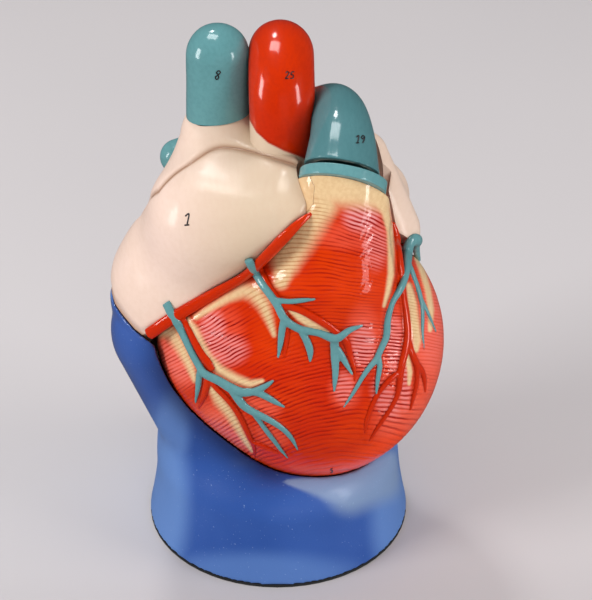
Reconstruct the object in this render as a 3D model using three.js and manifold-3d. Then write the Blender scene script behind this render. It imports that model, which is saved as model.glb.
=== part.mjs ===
// A human heart anatomy model at about twice life size, on a cast stand, as a bench assembly.
// Millimetres, +Z up, -Y towards the viewer. The origin is the centre of the stand's underside.
import * as THREE from "three";
import { mergeVertices } from "three/addons/utils/BufferGeometryUtils.js";
import Module from "manifold-3d";

const wasm = await Module();
wasm.setup();

const point = (x, y, z) => new THREE.Vector3(x, y, z);
const unit = (x, y, z) => point(x, y, z).normalize();

// Driving dimensions
const GAP = 0.4; // clearance between neighbouring pieces
const CRADLE_GAP = 1.3; // between the heart and the cradle it rests in
const FACET_TOLERANCE = 0.14; // facets flatter than this are merged
const PIN_CLEARANCE = 0.3; // round a pin, rod or screw in its hole
const SOCKET_GAP = 1.2; // round the foot of the aortic arch, which lifts straight out

const STAND_RADIUS = 77.2; // foot of the stand
const STAND_WAIST = 70.5; // narrowest radius above the flared foot
const STAND_WAIST_HEIGHT = 46;
const STAND_TOP = 60; // top of the round drum, under the heart
const STAND_ROUNDING = 20; // roll of the drum's top edge
const STAND_WALL = 7;
const CRADLE_WALL = 9; // how far the cradle stands out from the heart
const STEP_REACH = 8; // how far beyond the shoulder's own form that layer runs
const CRADLE_STEP = 6; // the atrial body steps in by this where the stand wraps it flush

const FELT_THICKNESS = 1.6;
const FELT_MARGIN = 0.8; // felt edge inside the stand's foot
const PLATE_THICKNESS = 5;
const PLATE_RADIUS = 70;
const SCREW_CIRCLE = 60;
const SCREW_RADIUS = 1.8;
const SCREW_HEAD_RADIUS = 3.6;
const SCREW_HEAD_HEIGHT = 2.2;
const SCREW_LENGTH = 16;
const SCREW_COUNT = 4;
const POST_RADIUS = 7; // posts inside the stand that take the screws
const POST_HEIGHT = 26;

const ROD_RADIUS = 4; // support rod under the heart
const ROD_TOP = 72;
const ROD_PLACE = point(22, 14, 0);
const BOSS_RADIUS = 11; // pad round the rod inside the stand
const BOSS_FOOT = 30;
const NUT_RADIUS = 7.5;
const NUT_THICKNESS = 5;

const FRONT_WALL = 8; // thickness of the removable front wall
const SEPTUM = 13; // muscle between the two ventricles
const CONUS_BORE = 18; // radius of the way out of the right ventricle
const RING_RADIUS = 23; // outside of the teal band
const TRUNK_LIFT = 3.2; // gap between the band and the pulmonary trunk
const ATRIUM_WALL = 5.5;
const PIN_RADIUS = 1.6;
const PIN_LENGTH = 13;
const CHORD_RADIUS = 0.9;
const CAVA_LOWER_RADIUS = 13;

const CAVA_RADIUS = 17;
const CAVA_WALL = 3;
const AORTA_RADIUS = 17.6;
const ROOT_RADIUS = 17; // the stump of the aorta that stays on the rear half
const AORTA_BORE = 13.5; // inside the stump and the arch
const RING_HEIGHT = 6; // the teal band that carries the pulmonary valve
const STUB_RADIUS = 10; // end of the right pulmonary artery behind the upper great vein
const VEIN_RADIUS = 9; // each pulmonary vein
const VEIN_BORE = 6;
const LIGAMENT_RADIUS = 2.6; // cord between the arch and the pulmonary trunk
const TRICUSPID_BORE = 15; // opening between right atrium and ventricle
const MITRAL_BORE = 14; // opening between left atrium and ventricle
const LEAFLET = 1.4; // thickness of a valve leaflet
const CUSP = 1.1; // thickness of a semilunar cusp

// Fields: a point's rough distance from a rounded form, negative inside
function ellipsoid(centre, radii, tilt = [0, 0, 0]) {
  const turn = new THREE.Quaternion()
    .setFromEuler(new THREE.Euler(...tilt.map(THREE.MathUtils.degToRad)))
    .invert();
  const local = new THREE.Vector3();
  return (p) => {
    local.copy(p).sub(centre).applyQuaternion(turn);
    const near = Math.hypot(local.x / radii[0], local.y / radii[1], local.z / radii[2]);
    const slope = Math.hypot(local.x / radii[0] ** 2, local.y / radii[1] ** 2, local.z / radii[2] ** 2);
    return slope < 1e-9 ? -Math.min(...radii) : (near * (near - 1)) / slope;
  };
}

function limb(from, to, fromRadius, toRadius) {
  const along = point().subVectors(to, from);
  const local = new THREE.Vector3();
  return (p) => {
    const share = THREE.MathUtils.clamp(local.copy(p).sub(from).dot(along) / along.lengthSq(), 0, 1);
    const radius = THREE.MathUtils.lerp(fromRadius, toRadius, share);
    return local.copy(from).addScaledVector(along, share).distanceTo(p) - radius;
  };
}

function softMin(a, b, softness) {
  const share = THREE.MathUtils.clamp(0.5 + (0.5 * (b - a)) / softness, 0, 1);
  return THREE.MathUtils.lerp(b, a, share) - softness * share * (1 - share);
}
const blend =
  (softness, ...fields) =>
  (p) =>
    fields.map((f) => f(p)).reduce((a, b) => softMin(a, b, softness));
const trim = (softness, a, b) => (p) => -softMin(-a(p), -b(p), softness);
const grow = (amount, field) => (p) => field(p) - amount;
const hollow = (softness, a, b) => (p) => -softMin(-a(p), b(p), softness);

// The space a form passes through while it moves away, as a field.
function swept(field, direction, length, stops) {
  const p = new THREE.Vector3();
  return (place) => {
    let least = Infinity;
    for (let stop = 0; stop <= stops; stop += 1)
      least = Math.min(least, field(p.copy(place).addScaledVector(direction, (-length * stop) / stops)));
    return least;
  };
}

// Solids
function toSolid(geometry) {
  const bare = new THREE.BufferGeometry().setAttribute("position", geometry.getAttribute("position"));
  if (geometry.index) bare.setIndex(geometry.index);
  const merged = mergeVertices(bare, 1e-4);
  return new wasm.Manifold(
    new wasm.Mesh({
      numProp: 3,
      vertProperties: merged.attributes.position.array,
      triVerts: new Uint32Array(merged.index.array),
    }),
  );
}

function toGeometry(solid) {
  const mesh = solid.getMesh();
  return new THREE.BufferGeometry()
    .setAttribute("position", new THREE.BufferAttribute(mesh.vertProperties, 3))
    .setIndex(new THREE.BufferAttribute(mesh.triVerts, 1));
}

const REACH = 200;
const MARCH = 1.5;
function surfaceDistance(field, centre, direction) {
  const p = new THREE.Vector3();
  const at = (t) => field(p.copy(centre).addScaledVector(direction, t));
  let outside = REACH;
  let inside = REACH;
  let value = at(inside);
  while (inside > MARCH && value > 0) {
    outside = inside;
    inside = Math.max(inside - Math.max(MARCH, 0.5 * value), MARCH);
    value = at(inside);
  }
  for (let halving = 0; halving < 14; halving += 1) {
    const middle = (outside + inside) / 2;
    if (at(middle) > 0) outside = middle;
    else inside = middle;
  }
  return (outside + inside) / 2;
}

// The surface of a field seen from a centre inside it, as one closed solid.
function blob(field, centre, pole, segments, rings) {
  const geometry = new THREE.SphereGeometry(1, segments, rings);
  const turn = new THREE.Quaternion().setFromUnitVectors(point(0, 1, 0), pole);
  const places = geometry.getAttribute("position");
  const direction = new THREE.Vector3();
  for (let i = 0; i < places.count; i += 1) {
    direction.fromBufferAttribute(places, i).applyQuaternion(turn).normalize();
    direction.multiplyScalar(surfaceDistance(field, centre, direction)).add(centre);
    places.setXYZ(i, direction.x, direction.y, direction.z);
  }
  return toSolid(geometry);
}

// Everything on the side of a plane that its normal points to.
function side(place, normal) {
  const size = 600;
  const turn = new THREE.Quaternion().setFromUnitVectors(point(0, 0, 1), normal);
  const box = new THREE.BoxGeometry(size, size, size)
    .translate(0, 0, size / 2)
    .applyQuaternion(turn)
    .translate(place.x, place.y, place.z);
  return toSolid(box);
}

// A prism along a direction whose outline passes through the given points, grown outwards by a margin.
function prism(outline, direction, margin) {
  const turn = new THREE.Quaternion().setFromUnitVectors(direction, point(0, 0, 1));
  const flat = outline.map((p) => p.clone().applyQuaternion(turn));
  const corners = flat.map((p, i) => {
    const before = flat[(i + flat.length - 1) % flat.length];
    const after = flat[(i + 1) % flat.length];
    const along = new THREE.Vector2(after.x - before.x, after.y - before.y).normalize();
    return new THREE.Vector2(p.x + along.y * margin, p.y - along.x * margin);
  });
  const length = 500;
  const body = new THREE.ExtrudeGeometry(new THREE.Shape(corners), { depth: length, bevelEnabled: false })
    .translate(0, 0, -length / 2)
    .applyQuaternion(turn.clone().invert());
  return toSolid(body);
}

function rod(from, to, radius, sides = 16, endRadius = radius) {
  const along = point().subVectors(to, from);
  const turn = new THREE.Quaternion().setFromUnitVectors(point(0, 1, 0), along.clone().normalize());
  const middle = point().addVectors(from, to).multiplyScalar(0.5);
  const cylinder = new THREE.CylinderGeometry(endRadius, radius, along.length(), sides)
    .applyQuaternion(turn)
    .translate(middle.x, middle.y, middle.z);
  return toSolid(cylinder);
}

// A tube whose radius changes along a smooth line, with flat ends.
function tube(places, radii, sides = 20, steps = 18) {
  const line = new THREE.CatmullRomCurve3(places, false, "centripetal");
  const frames = line.computeFrenetFrames(steps, false);
  const positions = [];
  const faces = [];
  for (let step = 0; step <= steps; step += 1) {
    const share = (step / steps) * (radii.length - 1);
    const low = Math.min(Math.floor(share), radii.length - 2);
    const radius = THREE.MathUtils.lerp(radii[low], radii[low + 1], share - low);
    const centre = line.getPoint(step / steps);
    for (let i = 0; i < sides; i += 1) {
      const angle = (2 * Math.PI * i) / sides;
      const place = centre
        .clone()
        .addScaledVector(frames.normals[step], radius * Math.cos(angle))
        .addScaledVector(frames.binormals[step], radius * Math.sin(angle));
      positions.push(...place.toArray());
      if (step < steps) {
        const next = (i + 1) % sides;
        const [a, b] = [step * sides + i, step * sides + next];
        faces.push(a, b, a + sides, b, b + sides, a + sides);
      }
    }
  }
  const first = positions.length / 3;
  positions.push(...line.getPoint(0).toArray(), ...line.getPoint(1).toArray());
  for (let i = 0; i < sides; i += 1) {
    const next = (i + 1) % sides;
    faces.push(first, next, i, first + 1, steps * sides + i, steps * sides + next);
  }
  const geometry = new THREE.BufferGeometry()
    .setAttribute("position", new THREE.Float32BufferAttribute(positions, 3))
    .setIndex(faces);
  const solid = toSolid(geometry);
  if (solid.volume() > 0) return solid;
  for (let i = 0; i < faces.length; i += 3) [faces[i + 1], faces[i + 2]] = [faces[i + 2], faces[i + 1]];
  return toSolid(geometry.setIndex(faces));
}

// A thin curved sheet of even thickness. place(u, v) gives its middle surface for u and v from 0 to 1.
function sheet(place, thickness, across, down) {
  const positions = [];
  const faces = [];
  const columns = across + 1;
  const count = columns * (down + 1);
  const step = 1e-3;
  for (const half of [thickness / 2, -thickness / 2])
    for (let j = 0; j <= down; j += 1)
      for (let i = 0; i <= across; i += 1) {
        const [u, v] = [i / across, j / down];
        const [u0, u1] = [Math.max(u - step, 0), Math.min(u + step, 1)];
        const [v0, v1] = [Math.max(v - step, 0), Math.min(v + step, 1)];
        const alongU = point().subVectors(place(u1, v), place(u0, v));
        const alongV = point().subVectors(place(u, v1), place(u, v0));
        const normal = alongU.cross(alongV).normalize();
        positions.push(...place(u, v).addScaledVector(normal, half).toArray());
      }
  for (let j = 0; j < down; j += 1)
    for (let i = 0; i < across; i += 1) {
      const a = j * columns + i;
      const [b, c, d] = [a + 1, a + columns, a + columns + 1];
      faces.push(a, b, d, a, d, c);
      faces.push(count + a, count + d, count + b, count + a, count + c, count + d);
    }
  const edge = [];
  for (let i = 0; i < across; i += 1) edge.push(i);
  for (let j = 0; j < down; j += 1) edge.push(j * columns + across);
  for (let i = across; i > 0; i -= 1) edge.push(down * columns + i);
  for (let j = down; j > 0; j -= 1) edge.push(j * columns);
  edge.forEach((a, k) => {
    const b = edge[(k + 1) % edge.length];
    faces.push(b, a, count + a, b, count + a, count + b);
  });
  const geometry = new THREE.BufferGeometry()
    .setAttribute("position", new THREE.Float32BufferAttribute(positions, 3))
    .setIndex(faces);
  return toSolid(geometry);
}

const largest = (solid) => solid.decompose().sort((a, b) => b.volume() - a.volume())[0];
const join = (...solids) => solids.reduce((a, b) => a.add(b));
const cut = (solid, ...tools) => tools.reduce((a, b) => a.subtract(b), solid);

// Forms of the heart
const UP = point(0, 0, 1);
const AHEAD = point(0, -1, 0);
const VENTRICLES_CENTRE = point(20, -14, 135);
const CONUS_FOOT = point(30, -34, 190);
const CONUS_TOP = point(36, -30, 258);
const ventricles = blend(
  24,
  ellipsoid(point(25, -10, 119), [68, 63, 78], [0, 16, 0]),
  ellipsoid(point(-13, -20, 136), [54, 49, 54], [0, -32, 0]),
  limb(CONUS_FOOT, CONUS_TOP, 34, 21.5),
);
const ATRIA_CENTRE = point(-20, 18, 192);
const rightAtrium = blend(
  16,
  ellipsoid(point(-47, 0, 149), [45, 49, 50], [0, 10, 0]),
  limb(point(-44, 2, 160), point(-34, -4, 206), 44, 34),
  limb(point(-34, -20, 205), point(7.5, -38, 222.5), 32, 20.5),
);
const roof = blend(
  14,
  limb(point(-31, 16, 200), point(-31, 20, 240), 34, 21),
  limb(point(-26, 6, 222), point(8, -26, 228), 26, 20),
);
const leftAtrium = ellipsoid(point(28, 40, 188), [42, 34, 34]);
const atria = blend(8, rightAtrium, roof, leftAtrium);
const leftAuricle = blend(
  10,
  limb(point(47, 10, 232), point(62, 2, 190), 13.5, 17),
  ellipsoid(point(50, 26, 196), [24, 20, 26]),
);
const shoulder = blend(
  16,
  limb(point(-23, -6, 60), point(-57, -10, 133), 41, 36),
  limb(point(-40, 24, 60), point(-60, 24, 114), 30, 26),
);
const leftVentricle = ellipsoid(point(50, 10, 120), [26, 24, 46], [0, 12, 0]);
const rightVentricle = hollow(
  5,
  trim(6, grow(-FRONT_WALL, ventricles), ellipsoid(point(-8, -22, 138), [50, 42, 58])),
  grow(SEPTUM, leftVentricle),
);

// Seams of the covers and the ways they come off
const FRONT_SEAM = { place: point(20, 0, 130), normal: unit(0.187, -1, -0.072) };
const ATRIUM_SEAM = { place: point(-36, 0, 168), normal: unit(-0.45, -0.75, 0.48) };
const LEFT_SEAM = { place: point(46, 40, 205), normal: unit(0.86, 0.3, 0.1) };
const FRONT_PULL = unit(0, -0.72, 0.69);
const ATRIUM_PULL = unit(-0.45, -0.5, 0.74);
const LEFT_PULL = unit(0.9, 0.25, 0.35);
// The groove between atria and ventricles, then round the outflow tract and the left auricle
const FRONT_OUTLINE = [
  point(-69, -43, 152),
  point(-46, -47, 168),
  point(-35, -46, 179),
  point(-17, -46, 192),
  point(-8, -51, 205),
  point(3, -56, 218),
  point(19, -52, 237),
  point(20, -46, 243),
  point(14, -34, 250),
  point(12, -20, 290),
  point(66, -20, 290),
  point(59, -35, 235),
  point(62, -33, 218),
  point(72, -20, 200),
  point(140, 0, 190),
  point(140, 0, -60),
  point(-150, 0, -60),
  point(-150, -40, 140),
].reverse();
// The crease under the roof of the atria
const ATRIUM_OUTLINE = [
  point(13, -28, 246),
  point(-6, -17, 247),
  point(-22, -8, 246.5),
  point(-33, -6.5, 245),
  point(-48, -13, 238.5),
  point(-63, -18, 226),
  point(-92, 10, 200),
  point(-104, 6, 170),
  point(-90, -18, 155),
  point(-78, -37, 151),
  point(-69, -43, 147),
  point(-40, -90, 130),
  point(60, -80, 236),
];
// The stand's rim, where it meets the atria flush
const RIM = { place: point(-78, -37, 151), normal: unit(52, 12, 99) };
const VALVE = { place: point(35.2, -35.5, 244.5), normal: unit(0.17, 0.69, 0.7) };
const AORTA_ROOT = point(4, 0, 214);
const TRICUSPID = { place: point(-32, 5, 172), normal: unit(24, -8, -38) };
const MITRAL = { place: point(41, 27, 175), normal: unit(12, -16, -50) };

const back = (seam) => ({ place: seam.place, normal: seam.normal.clone().negate() });
const along = (axis, distance) => axis.place.clone().addScaledVector(axis.normal, distance);
const shift = (seam, distance) => side(along(seam, distance), seam.normal);

const ventriclesBlob = (extra) => blob(grow(extra, ventricles), VENTRICLES_CENTRE, AHEAD, 28, 18);
const atriaBlob = (extra) => blob(grow(extra, atria), ATRIA_CENTRE, UP, 26, 16);
const heartMass = ventriclesBlob(0).subtract(shift(VALVE, -RING_HEIGHT));
const heartSlack = ventriclesBlob(GAP);
const atriaMass = atriaBlob(0);
// Below the rim the stand takes the place of the atrial body's outer layer, as far as its shoulder reaches
const rimZone = (margin) =>
  shift(back(RIM), -margin).intersect(blob(grow(STEP_REACH + margin, shoulder), point(-50, 0, 110), UP, 22, 15));
const atrialStep = rimZone(0).subtract(atriaBlob(-CRADLE_STEP));

// Chambers
const leftVentricleBlob = (extra) => blob(grow(extra, leftVentricle), point(50, 10, 120), UP, 16, 11);
const rightVentricleBlob = (extra) => blob(grow(extra, rightVentricle), point(-16, -30, 140), UP, 18, 12);
const leftChamber = join(
  leftVentricleBlob(0),
  tube([point(42, 8, 148), point(20, 3, 184), point(4, 0, 206)], [15, AORTA_BORE, AORTA_BORE], 18, 6),
  rod(point(4, 0, 200), AORTA_ROOT.clone().add(point(0, 0, 6)), AORTA_BORE, 18),
  rod(along(MITRAL, -24), along(MITRAL, 30), MITRAL_BORE, 18),
);
const rightChamber = join(
  rightVentricleBlob(0),
  tube([point(8, -34, 165), point(27, -31, 198), along(VALVE, 0)], [17, 17, CONUS_BORE - 1], 18, 6),
  rod(along(VALVE, -RING_HEIGHT), along(VALVE, 8), CONUS_BORE, 24),
  rod(along(TRICUSPID, -22), along(TRICUSPID, 24), TRICUSPID_BORE, 18),
);
const leftAtriumSpace = cut(blob(grow(-ATRIUM_WALL, leftAtrium), point(28, 40, 190), UP, 18, 12), heartSlack);
const rightAtriumSpace = cut(
  blob(grow(-ATRIUM_WALL, rightAtrium), point(-46, 0, 182), UP, 20, 14),
  rimZone(ATRIUM_WALL).subtract(atriaBlob(-CRADLE_STEP - ATRIUM_WALL)),
  heartSlack,
  blob(leftAtrium, point(28, 40, 190), UP, 18, 12),
);

// Great vessels
const archPlaces = [
  AORTA_ROOT,
  point(3.5, 0, 246),
  point(3, 5, 275),
  point(2.5, 22, 287),
  point(2, 42, 274),
  point(5, 57, 252),
  point(7, 62, 234),
];
const archTaper = [0, 0, 0, 0, 0.6, 1.6, 2.6]; // how much thinner the aorta gets on its way round
const arch = (extra) =>
  tube(archPlaces, archTaper.map((less) => AORTA_RADIUS - less + extra), 18, 12);
const trunkPlaces = [point(33.7, -35.5, 244.5), point(34.5, -18, 258), point(32, 4, 262), point(23, 24, 253)];
const leftBranchPlaces = [point(29, 10, 257), point(33, 32, 243), point(37, 50, 236)];
const rightBranchPlaces = [point(25, 18, 256), point(8, 42, 241), point(-14, 50, 233)];
const trunk = (extra) => tube(trunkPlaces, [20.5, 17, 14, 12].map((r) => r + extra), 18, 7);
const leftBranch = (extra) => tube(leftBranchPlaces, [11, 10, 9.5].map((r) => r + extra), 14, 4);
const rightBranch = (extra) => tube(rightBranchPlaces, [12, 10.5, 10].map((r) => r + extra), 14, 5);
const ball = (centre, radius, sides) =>
  toSolid(new THREE.SphereGeometry(radius, sides, 8).translate(...centre.toArray()));
const CAVA_FOOT = point(-32, 18, 225);
const CAVA_TOP = point(-31, 21, 287); // centre of the rounded end
const CAVA_FLARE = 0.4; // wider at its foot
const cava = (extra) =>
  join(
    rod(CAVA_FOOT, CAVA_TOP, CAVA_RADIUS + CAVA_FLARE + extra, 18, CAVA_RADIUS + extra),
    ball(CAVA_TOP, CAVA_RADIUS + extra, 18),
  );
const cavaBore = rod(point(-36, 8, 190), CAVA_TOP.clone().add(point(0, 0, -5)), CAVA_RADIUS - CAVA_WALL, 18);
const archSocket = rod(point(4, 0, 180), point(3.7, 0.4, 262), AORTA_RADIUS + SOCKET_GAP, 24);

const lowerCavaPlaces = [point(-42, 30, 160), point(-51, 62, 152)];
const lowerCava = rod(...lowerCavaPlaces, CAVA_LOWER_RADIUS, 18);
const lowerCavaBore = rod(point(-36, 8, 164), point(-53.5, 71, 149.7), CAVA_LOWER_RADIUS - CAVA_WALL, 16);
const veins = {
  pulmonary_vein_right_upper: [point(4, 50, 199), point(-14, 74, 206)],
  pulmonary_vein_right_lower: [point(4, 50, 179), point(-14, 74, 173)],
  pulmonary_vein_left_upper: [point(21, 56, 199), point(25, 86, 206)],
  pulmonary_vein_left_lower: [point(21, 56, 179), point(25, 86, 173)],
};
const beyond = (from, to, distance) => to.clone().add(point().subVectors(to, from).setLength(distance));
const veinBores = Object.values(veins).map(([from, to]) => rod(from, beyond(from, to, 2), VEIN_BORE, 12));

const solids = {};
const add = (name, slot, solid) => {
  solids[name] = { slot, solid: largest(largest(solid).simplify(FACET_TOLERANCE)) };
};

// Front wall
const frontZone = (margin) => prism(FRONT_OUTLINE, FRONT_PULL, margin).intersect(shift(FRONT_SEAM, -margin));
const moved = (solid, direction, distance) => {
  const way = direction.clone().multiplyScalar(distance);
  return solid.translate(way.x, way.y, way.z);
};
const archFoot = rod(AORTA_ROOT, point(4, 0, 244), AORTA_RADIUS + SOCKET_GAP, 24);
const archWay = [0, 5, 10, 15, 22].map((t) => moved(archFoot, FRONT_PULL, -t));
const onSeam = (x, z) => {
  const { place, normal } = FRONT_SEAM;
  return point(x, place.y - (normal.x * (x - place.x) + normal.z * (z - place.z)) / normal.y, z);
};
const pinPlaces = [onSeam(17, 96), onSeam(86, 132)];
const pin = (place, margin) =>
  rod(
    place.clone().addScaledVector(FRONT_PULL, -PIN_LENGTH / 2 - margin),
    place.clone().addScaledVector(FRONT_PULL, PIN_LENGTH / 2 + margin),
    PIN_RADIUS + margin,
    12,
  );
const pinHoles = pinPlaces.map((place) => pin(place, PIN_CLEARANCE));
const frontMass = heartMass.intersect(frontZone(0));
add("front_wall", "muscle", cut(frontMass, leftChamber, rightChamber, ...archWay, ...pinHoles));
const ring = rod(along(VALVE, -RING_HEIGHT + GAP), VALVE.place, RING_RADIUS, 28);
add("pulmonary_ring", "teal", cut(ring, rightChamber, atriaBlob(2 * GAP)));

// Rear half
const rootPlaces = [point(14, 3, 188), point(8, 1, 198), point(4, 0, 207)];
const aorticRoot = (extra) =>
  join(
    tube(
      [beyond(rootPlaces[1], rootPlaces[0], extra), ...rootPlaces.slice(1)],
      [1.5, 1, 0].map((more) => ROOT_RADIUS + more + extra),
      20,
      4,
    ),
    rod(AORTA_ROOT.clone().add(point(0, 0, -12)), AORTA_ROOT, ROOT_RADIUS + extra, 20),
  );
const rodHole = rod(ROD_PLACE, ROD_PLACE.clone().setZ(ROD_TOP + GAP), ROD_RADIUS + PIN_CLEARANCE, 20);
const rearMass = heartMass.add(aorticRoot(0)).subtract(frontZone(GAP));
add("rear_heart_body", "muscle", cut(rearMass, leftChamber, rightChamber, rodHole, ...pinHoles));
pinPlaces.forEach((place, i) => add(`locating_pin_${i + 1}`, "steel", pin(place, 0)));

const atriumZone = (margin) =>
  prism(ATRIUM_OUTLINE, ATRIUM_PULL, margin).intersect(shift(ATRIUM_SEAM, -margin));
const leftZone = (margin) => shift(LEFT_SEAM, -margin);
const mitralWay = rod(along(MITRAL, -24), along(MITRAL, 30), MITRAL_BORE + 2 * GAP, 18);
const tricuspidWay = rod(along(TRICUSPID, -22), along(TRICUSPID, 24), TRICUSPID_BORE + 2 * GAP, 18);
const atriaShell = cut(
  atriaMass,
  heartSlack,
  rightAtriumSpace,
  leftAtriumSpace,
  frontZone(GAP),
  archSocket,
  aorticRoot(2 * GAP),
  mitralWay,
  tricuspidWay,
  cavaBore,
  lowerCavaBore,
  ...veinBores,
);
const auricleMass = blob(leftAuricle, point(54, 14, 200), UP, 18, 12);
const auricle = cut(auricleMass, heartSlack, frontZone(GAP), leftAtriumSpace);
add("right_atrium_wall", "cream", atriaShell.intersect(atriumZone(0)));
const leftMass = join(atriaShell, auricle).intersect(leftZone(0));
add("left_atrium_wall", "cream", cut(leftMass, atriumZone(GAP), mitralWay));
add("atrial_body", "cream", cut(atriaShell, atriumZone(GAP), leftZone(GAP), atrialStep));
add("superior_vena_cava", "teal", cut(cava(0), atriaBlob(GAP), cavaBore));
add("inferior_vena_cava", "teal", cut(lowerCava, atriaBlob(GAP), lowerCavaBore));
const STUB_END = point(-56, 48, 210);
const rightPulmonary = join(
  rod(point(-28, 51, 219), STUB_END, STUB_RADIUS, 14),
  ball(STUB_END, STUB_RADIUS, 14),
);
add("right_pulmonary_artery", "teal", cut(rightPulmonary, atriaBlob(GAP), cava(GAP)));
Object.entries(veins).forEach(([name, [from, to]], i) => {
  add(name, "artery", cut(rod(from, to, VEIN_RADIUS, 14), atriaBlob(GAP), veinBores[i]));
});

// Valves. Each axis points the way the blood flows.
function ringOf(axis) {
  const across = point(axis.normal.z, 0.3, -axis.normal.x).cross(axis.normal).normalize();
  const other = axis.normal.clone().cross(across);
  return (angle, radius, depth) =>
    along(axis, depth)
      .addScaledVector(across, radius * Math.cos(angle))
      .addScaledVector(other, radius * Math.sin(angle));
}
function annulus(axis, depth) {
  const inside = along(axis, 12);
  const outwards = axis.normal.clone().negate();
  const reach = surfaceDistance(ventricles, inside, outwards) - depth;
  return { place: inside.addScaledVector(outwards, reach), normal: axis.normal };
}
function leaflets(prefix, axis, bore, count, length) {
  const at = ringOf(axis);
  const share = (2 * Math.PI) / count;
  for (let i = 0; i < count; i += 1) {
    const leaf = (u, v) => {
      const scallop = 0.6 + 0.4 * Math.sin(Math.PI * u);
      const radius = (bore - GAP - LEAFLET / 2) * (1 - 0.45 * v ** 1.4);
      return at(share * (i + 0.04 + 0.92 * u), radius, length * scallop * v);
    };
    add(`${prefix}_${i + 1}`, "valve", sheet(leaf, LEAFLET, 6, 3));
  }
}
const tricuspidRing = annulus(TRICUSPID, 2);
const mitralRing = annulus(MITRAL, 2);
leaflets("tricuspid_leaflet", tricuspidRing, TRICUSPID_BORE, 3, 20);
leaflets("mitral_leaflet", mitralRing, MITRAL_BORE, 2, 21);

function cusps(prefix, axis, bore, height) {
  const at = ringOf(axis);
  const share = (2 * Math.PI) / 3;
  const reach = bore - GAP - CUSP / 2;
  for (let i = 0; i < 3; i += 1) {
    const cusp = (u, v) => {
      const swell = Math.sin(Math.PI * (0.06 + 0.88 * u));
      const angle = share * (i + 0.05 + 0.9 * u);
      const depth = height * (1 - swell * (1 - v) - 0.25 * swell * Math.sin(Math.PI * v));
      return at(angle, reach * (1 - 0.86 * swell * v), depth);
    };
    add(`${prefix}_${i + 1}`, "valve", sheet(cusp, CUSP, 6, 3));
  }
}
cusps("aortic_cusp", { place: AORTA_ROOT.clone().add(point(0, 0, -11)), normal: UP }, AORTA_BORE, 9);
cusps("pulmonary_cusp", { place: along(VALVE, -4.6), normal: VALVE.normal }, CONUS_BORE, 6.6);

// Papillary muscles with their cords, from the chamber wall up to the free edges of the leaflets
function papillary(name, foot, tip, ends, chamber) {
  const muscle = tube([foot, point().lerpVectors(foot, tip, 0.5), tip], [6.5, 5, 2.6], 12, 4);
  const cords = ends.map((end) => rod(point().lerpVectors(foot, tip, 0.93), end, CHORD_RADIUS, 6));
  add(name, "valve", join(muscle, ...cords).intersect(chamber));
}
const leftSlack = leftVentricleBlob(-GAP);
const rightSlack = rightVentricleBlob(-GAP);
const mitralAt = ringOf(mitralRing);
const tricuspidAt = ringOf(tricuspidRing);
const mitralEnds = (...angles) => angles.map((angle) => mitralAt(angle, MITRAL_BORE * 0.5, 23));
const tricuspidEnds = (...angles) => angles.map((angle) => tricuspidAt(angle, TRICUSPID_BORE * 0.5, 22));
const pillars = {
  papillary_left_front: [point(34, 30, 88), point(44, 22, 122), mitralEnds(0.4, 1.6), leftSlack],
  papillary_left_back: [point(68, 32, 96), point(60, 24, 124), mitralEnds(3.6, 4.7), leftSlack],
  papillary_right_front: [point(-30, 16, 104), point(-28, 8, 128), tricuspidEnds(0.6, 2), rightSlack],
  papillary_right_back: [point(0, 16, 118), point(-8, 6, 134), tricuspidEnds(3.4, 4.8), rightSlack],
};
Object.entries(pillars).forEach(([name, sizes]) => papillary(name, ...sizes));

// Great vessels
const trunkFoot = shift(back(VALVE), -TRUNK_LIFT);
const trunkBore = tube([along(VALVE, -4), ...trunkPlaces.slice(1)], [16.5, 13.5, 10.4, 8.4], 16, 8);
const vesselsMass = join(trunk(0), leftBranch(0), rightBranch(0));
add(
  "pulmonary_trunk",
  "teal",
  cut(vesselsMass, trunkFoot, trunkBore, atriaBlob(GAP), solids.left_atrium_wall.solid),
);
const archEnd = beyond(archPlaces[5], archPlaces[6], 4);
const archBorePlaces = [point(4, 0, 210), ...archPlaces.slice(1, -1), archEnd];
const archBore = tube(archBorePlaces, archTaper.map((less) => AORTA_BORE + 0.5 - less), 12, 10);
const rootTop = rod(point(4, 0, 180), AORTA_ROOT.clone().add(point(0, 0, GAP)), AORTA_RADIUS + 6, 20);
const vesselsSlack = [trunk(GAP), leftBranch(GAP), rightBranch(GAP)];
add("aortic_arch", "artery", cut(arch(0), archBore, ...vesselsSlack, cava(2 * GAP), heartSlack, rootTop));
const ligament = rod(point(6, 34, 272), point(30, 27, 250), LIGAMENT_RADIUS, 12);
add("arterial_ligament", "valve", cut(ligament, arch(GAP), ...vesselsSlack));

// Stand
const standForm = (p) => {
  const flare = STAND_WAIST + (STAND_RADIUS - STAND_WAIST) * Math.max(0, 1 - p.z / STAND_WAIST_HEIGHT) ** 1.6;
  const outwards = Math.hypot(p.x, p.y) - flare + STAND_ROUNDING;
  const upwards = p.z - STAND_TOP + STAND_ROUNDING;
  const drum = Math.hypot(Math.max(outwards, 0), Math.max(upwards, 0)) - STAND_ROUNDING;
  return softMin(drum, shoulder(p), 14);
};
const STAND_CENTRE = point(-22, 0, 42);
const floor = (height) => side(point(0, 0, height), UP);
const disc = (bottom, top, radius, sides) => rod(point(0, 0, bottom), point(0, 0, top), radius, sides);
const standMass = blob(standForm, STAND_CENTRE, UP, 32, 18);
const CLEAR_WAY = 60; // how far the cradle is kept open for the heart on its way out
const ventriclesUp = swept(ventricles, UP, CLEAR_WAY, 6);
const ventriclesOut = swept(ventricles, FRONT_PULL, CLEAR_WAY, 6);
const ventriclesWay = (p) => Math.min(ventriclesUp(p), ventriclesOut(p));
const atriaWay = swept(atria, UP, CLEAR_WAY, 6);
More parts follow.
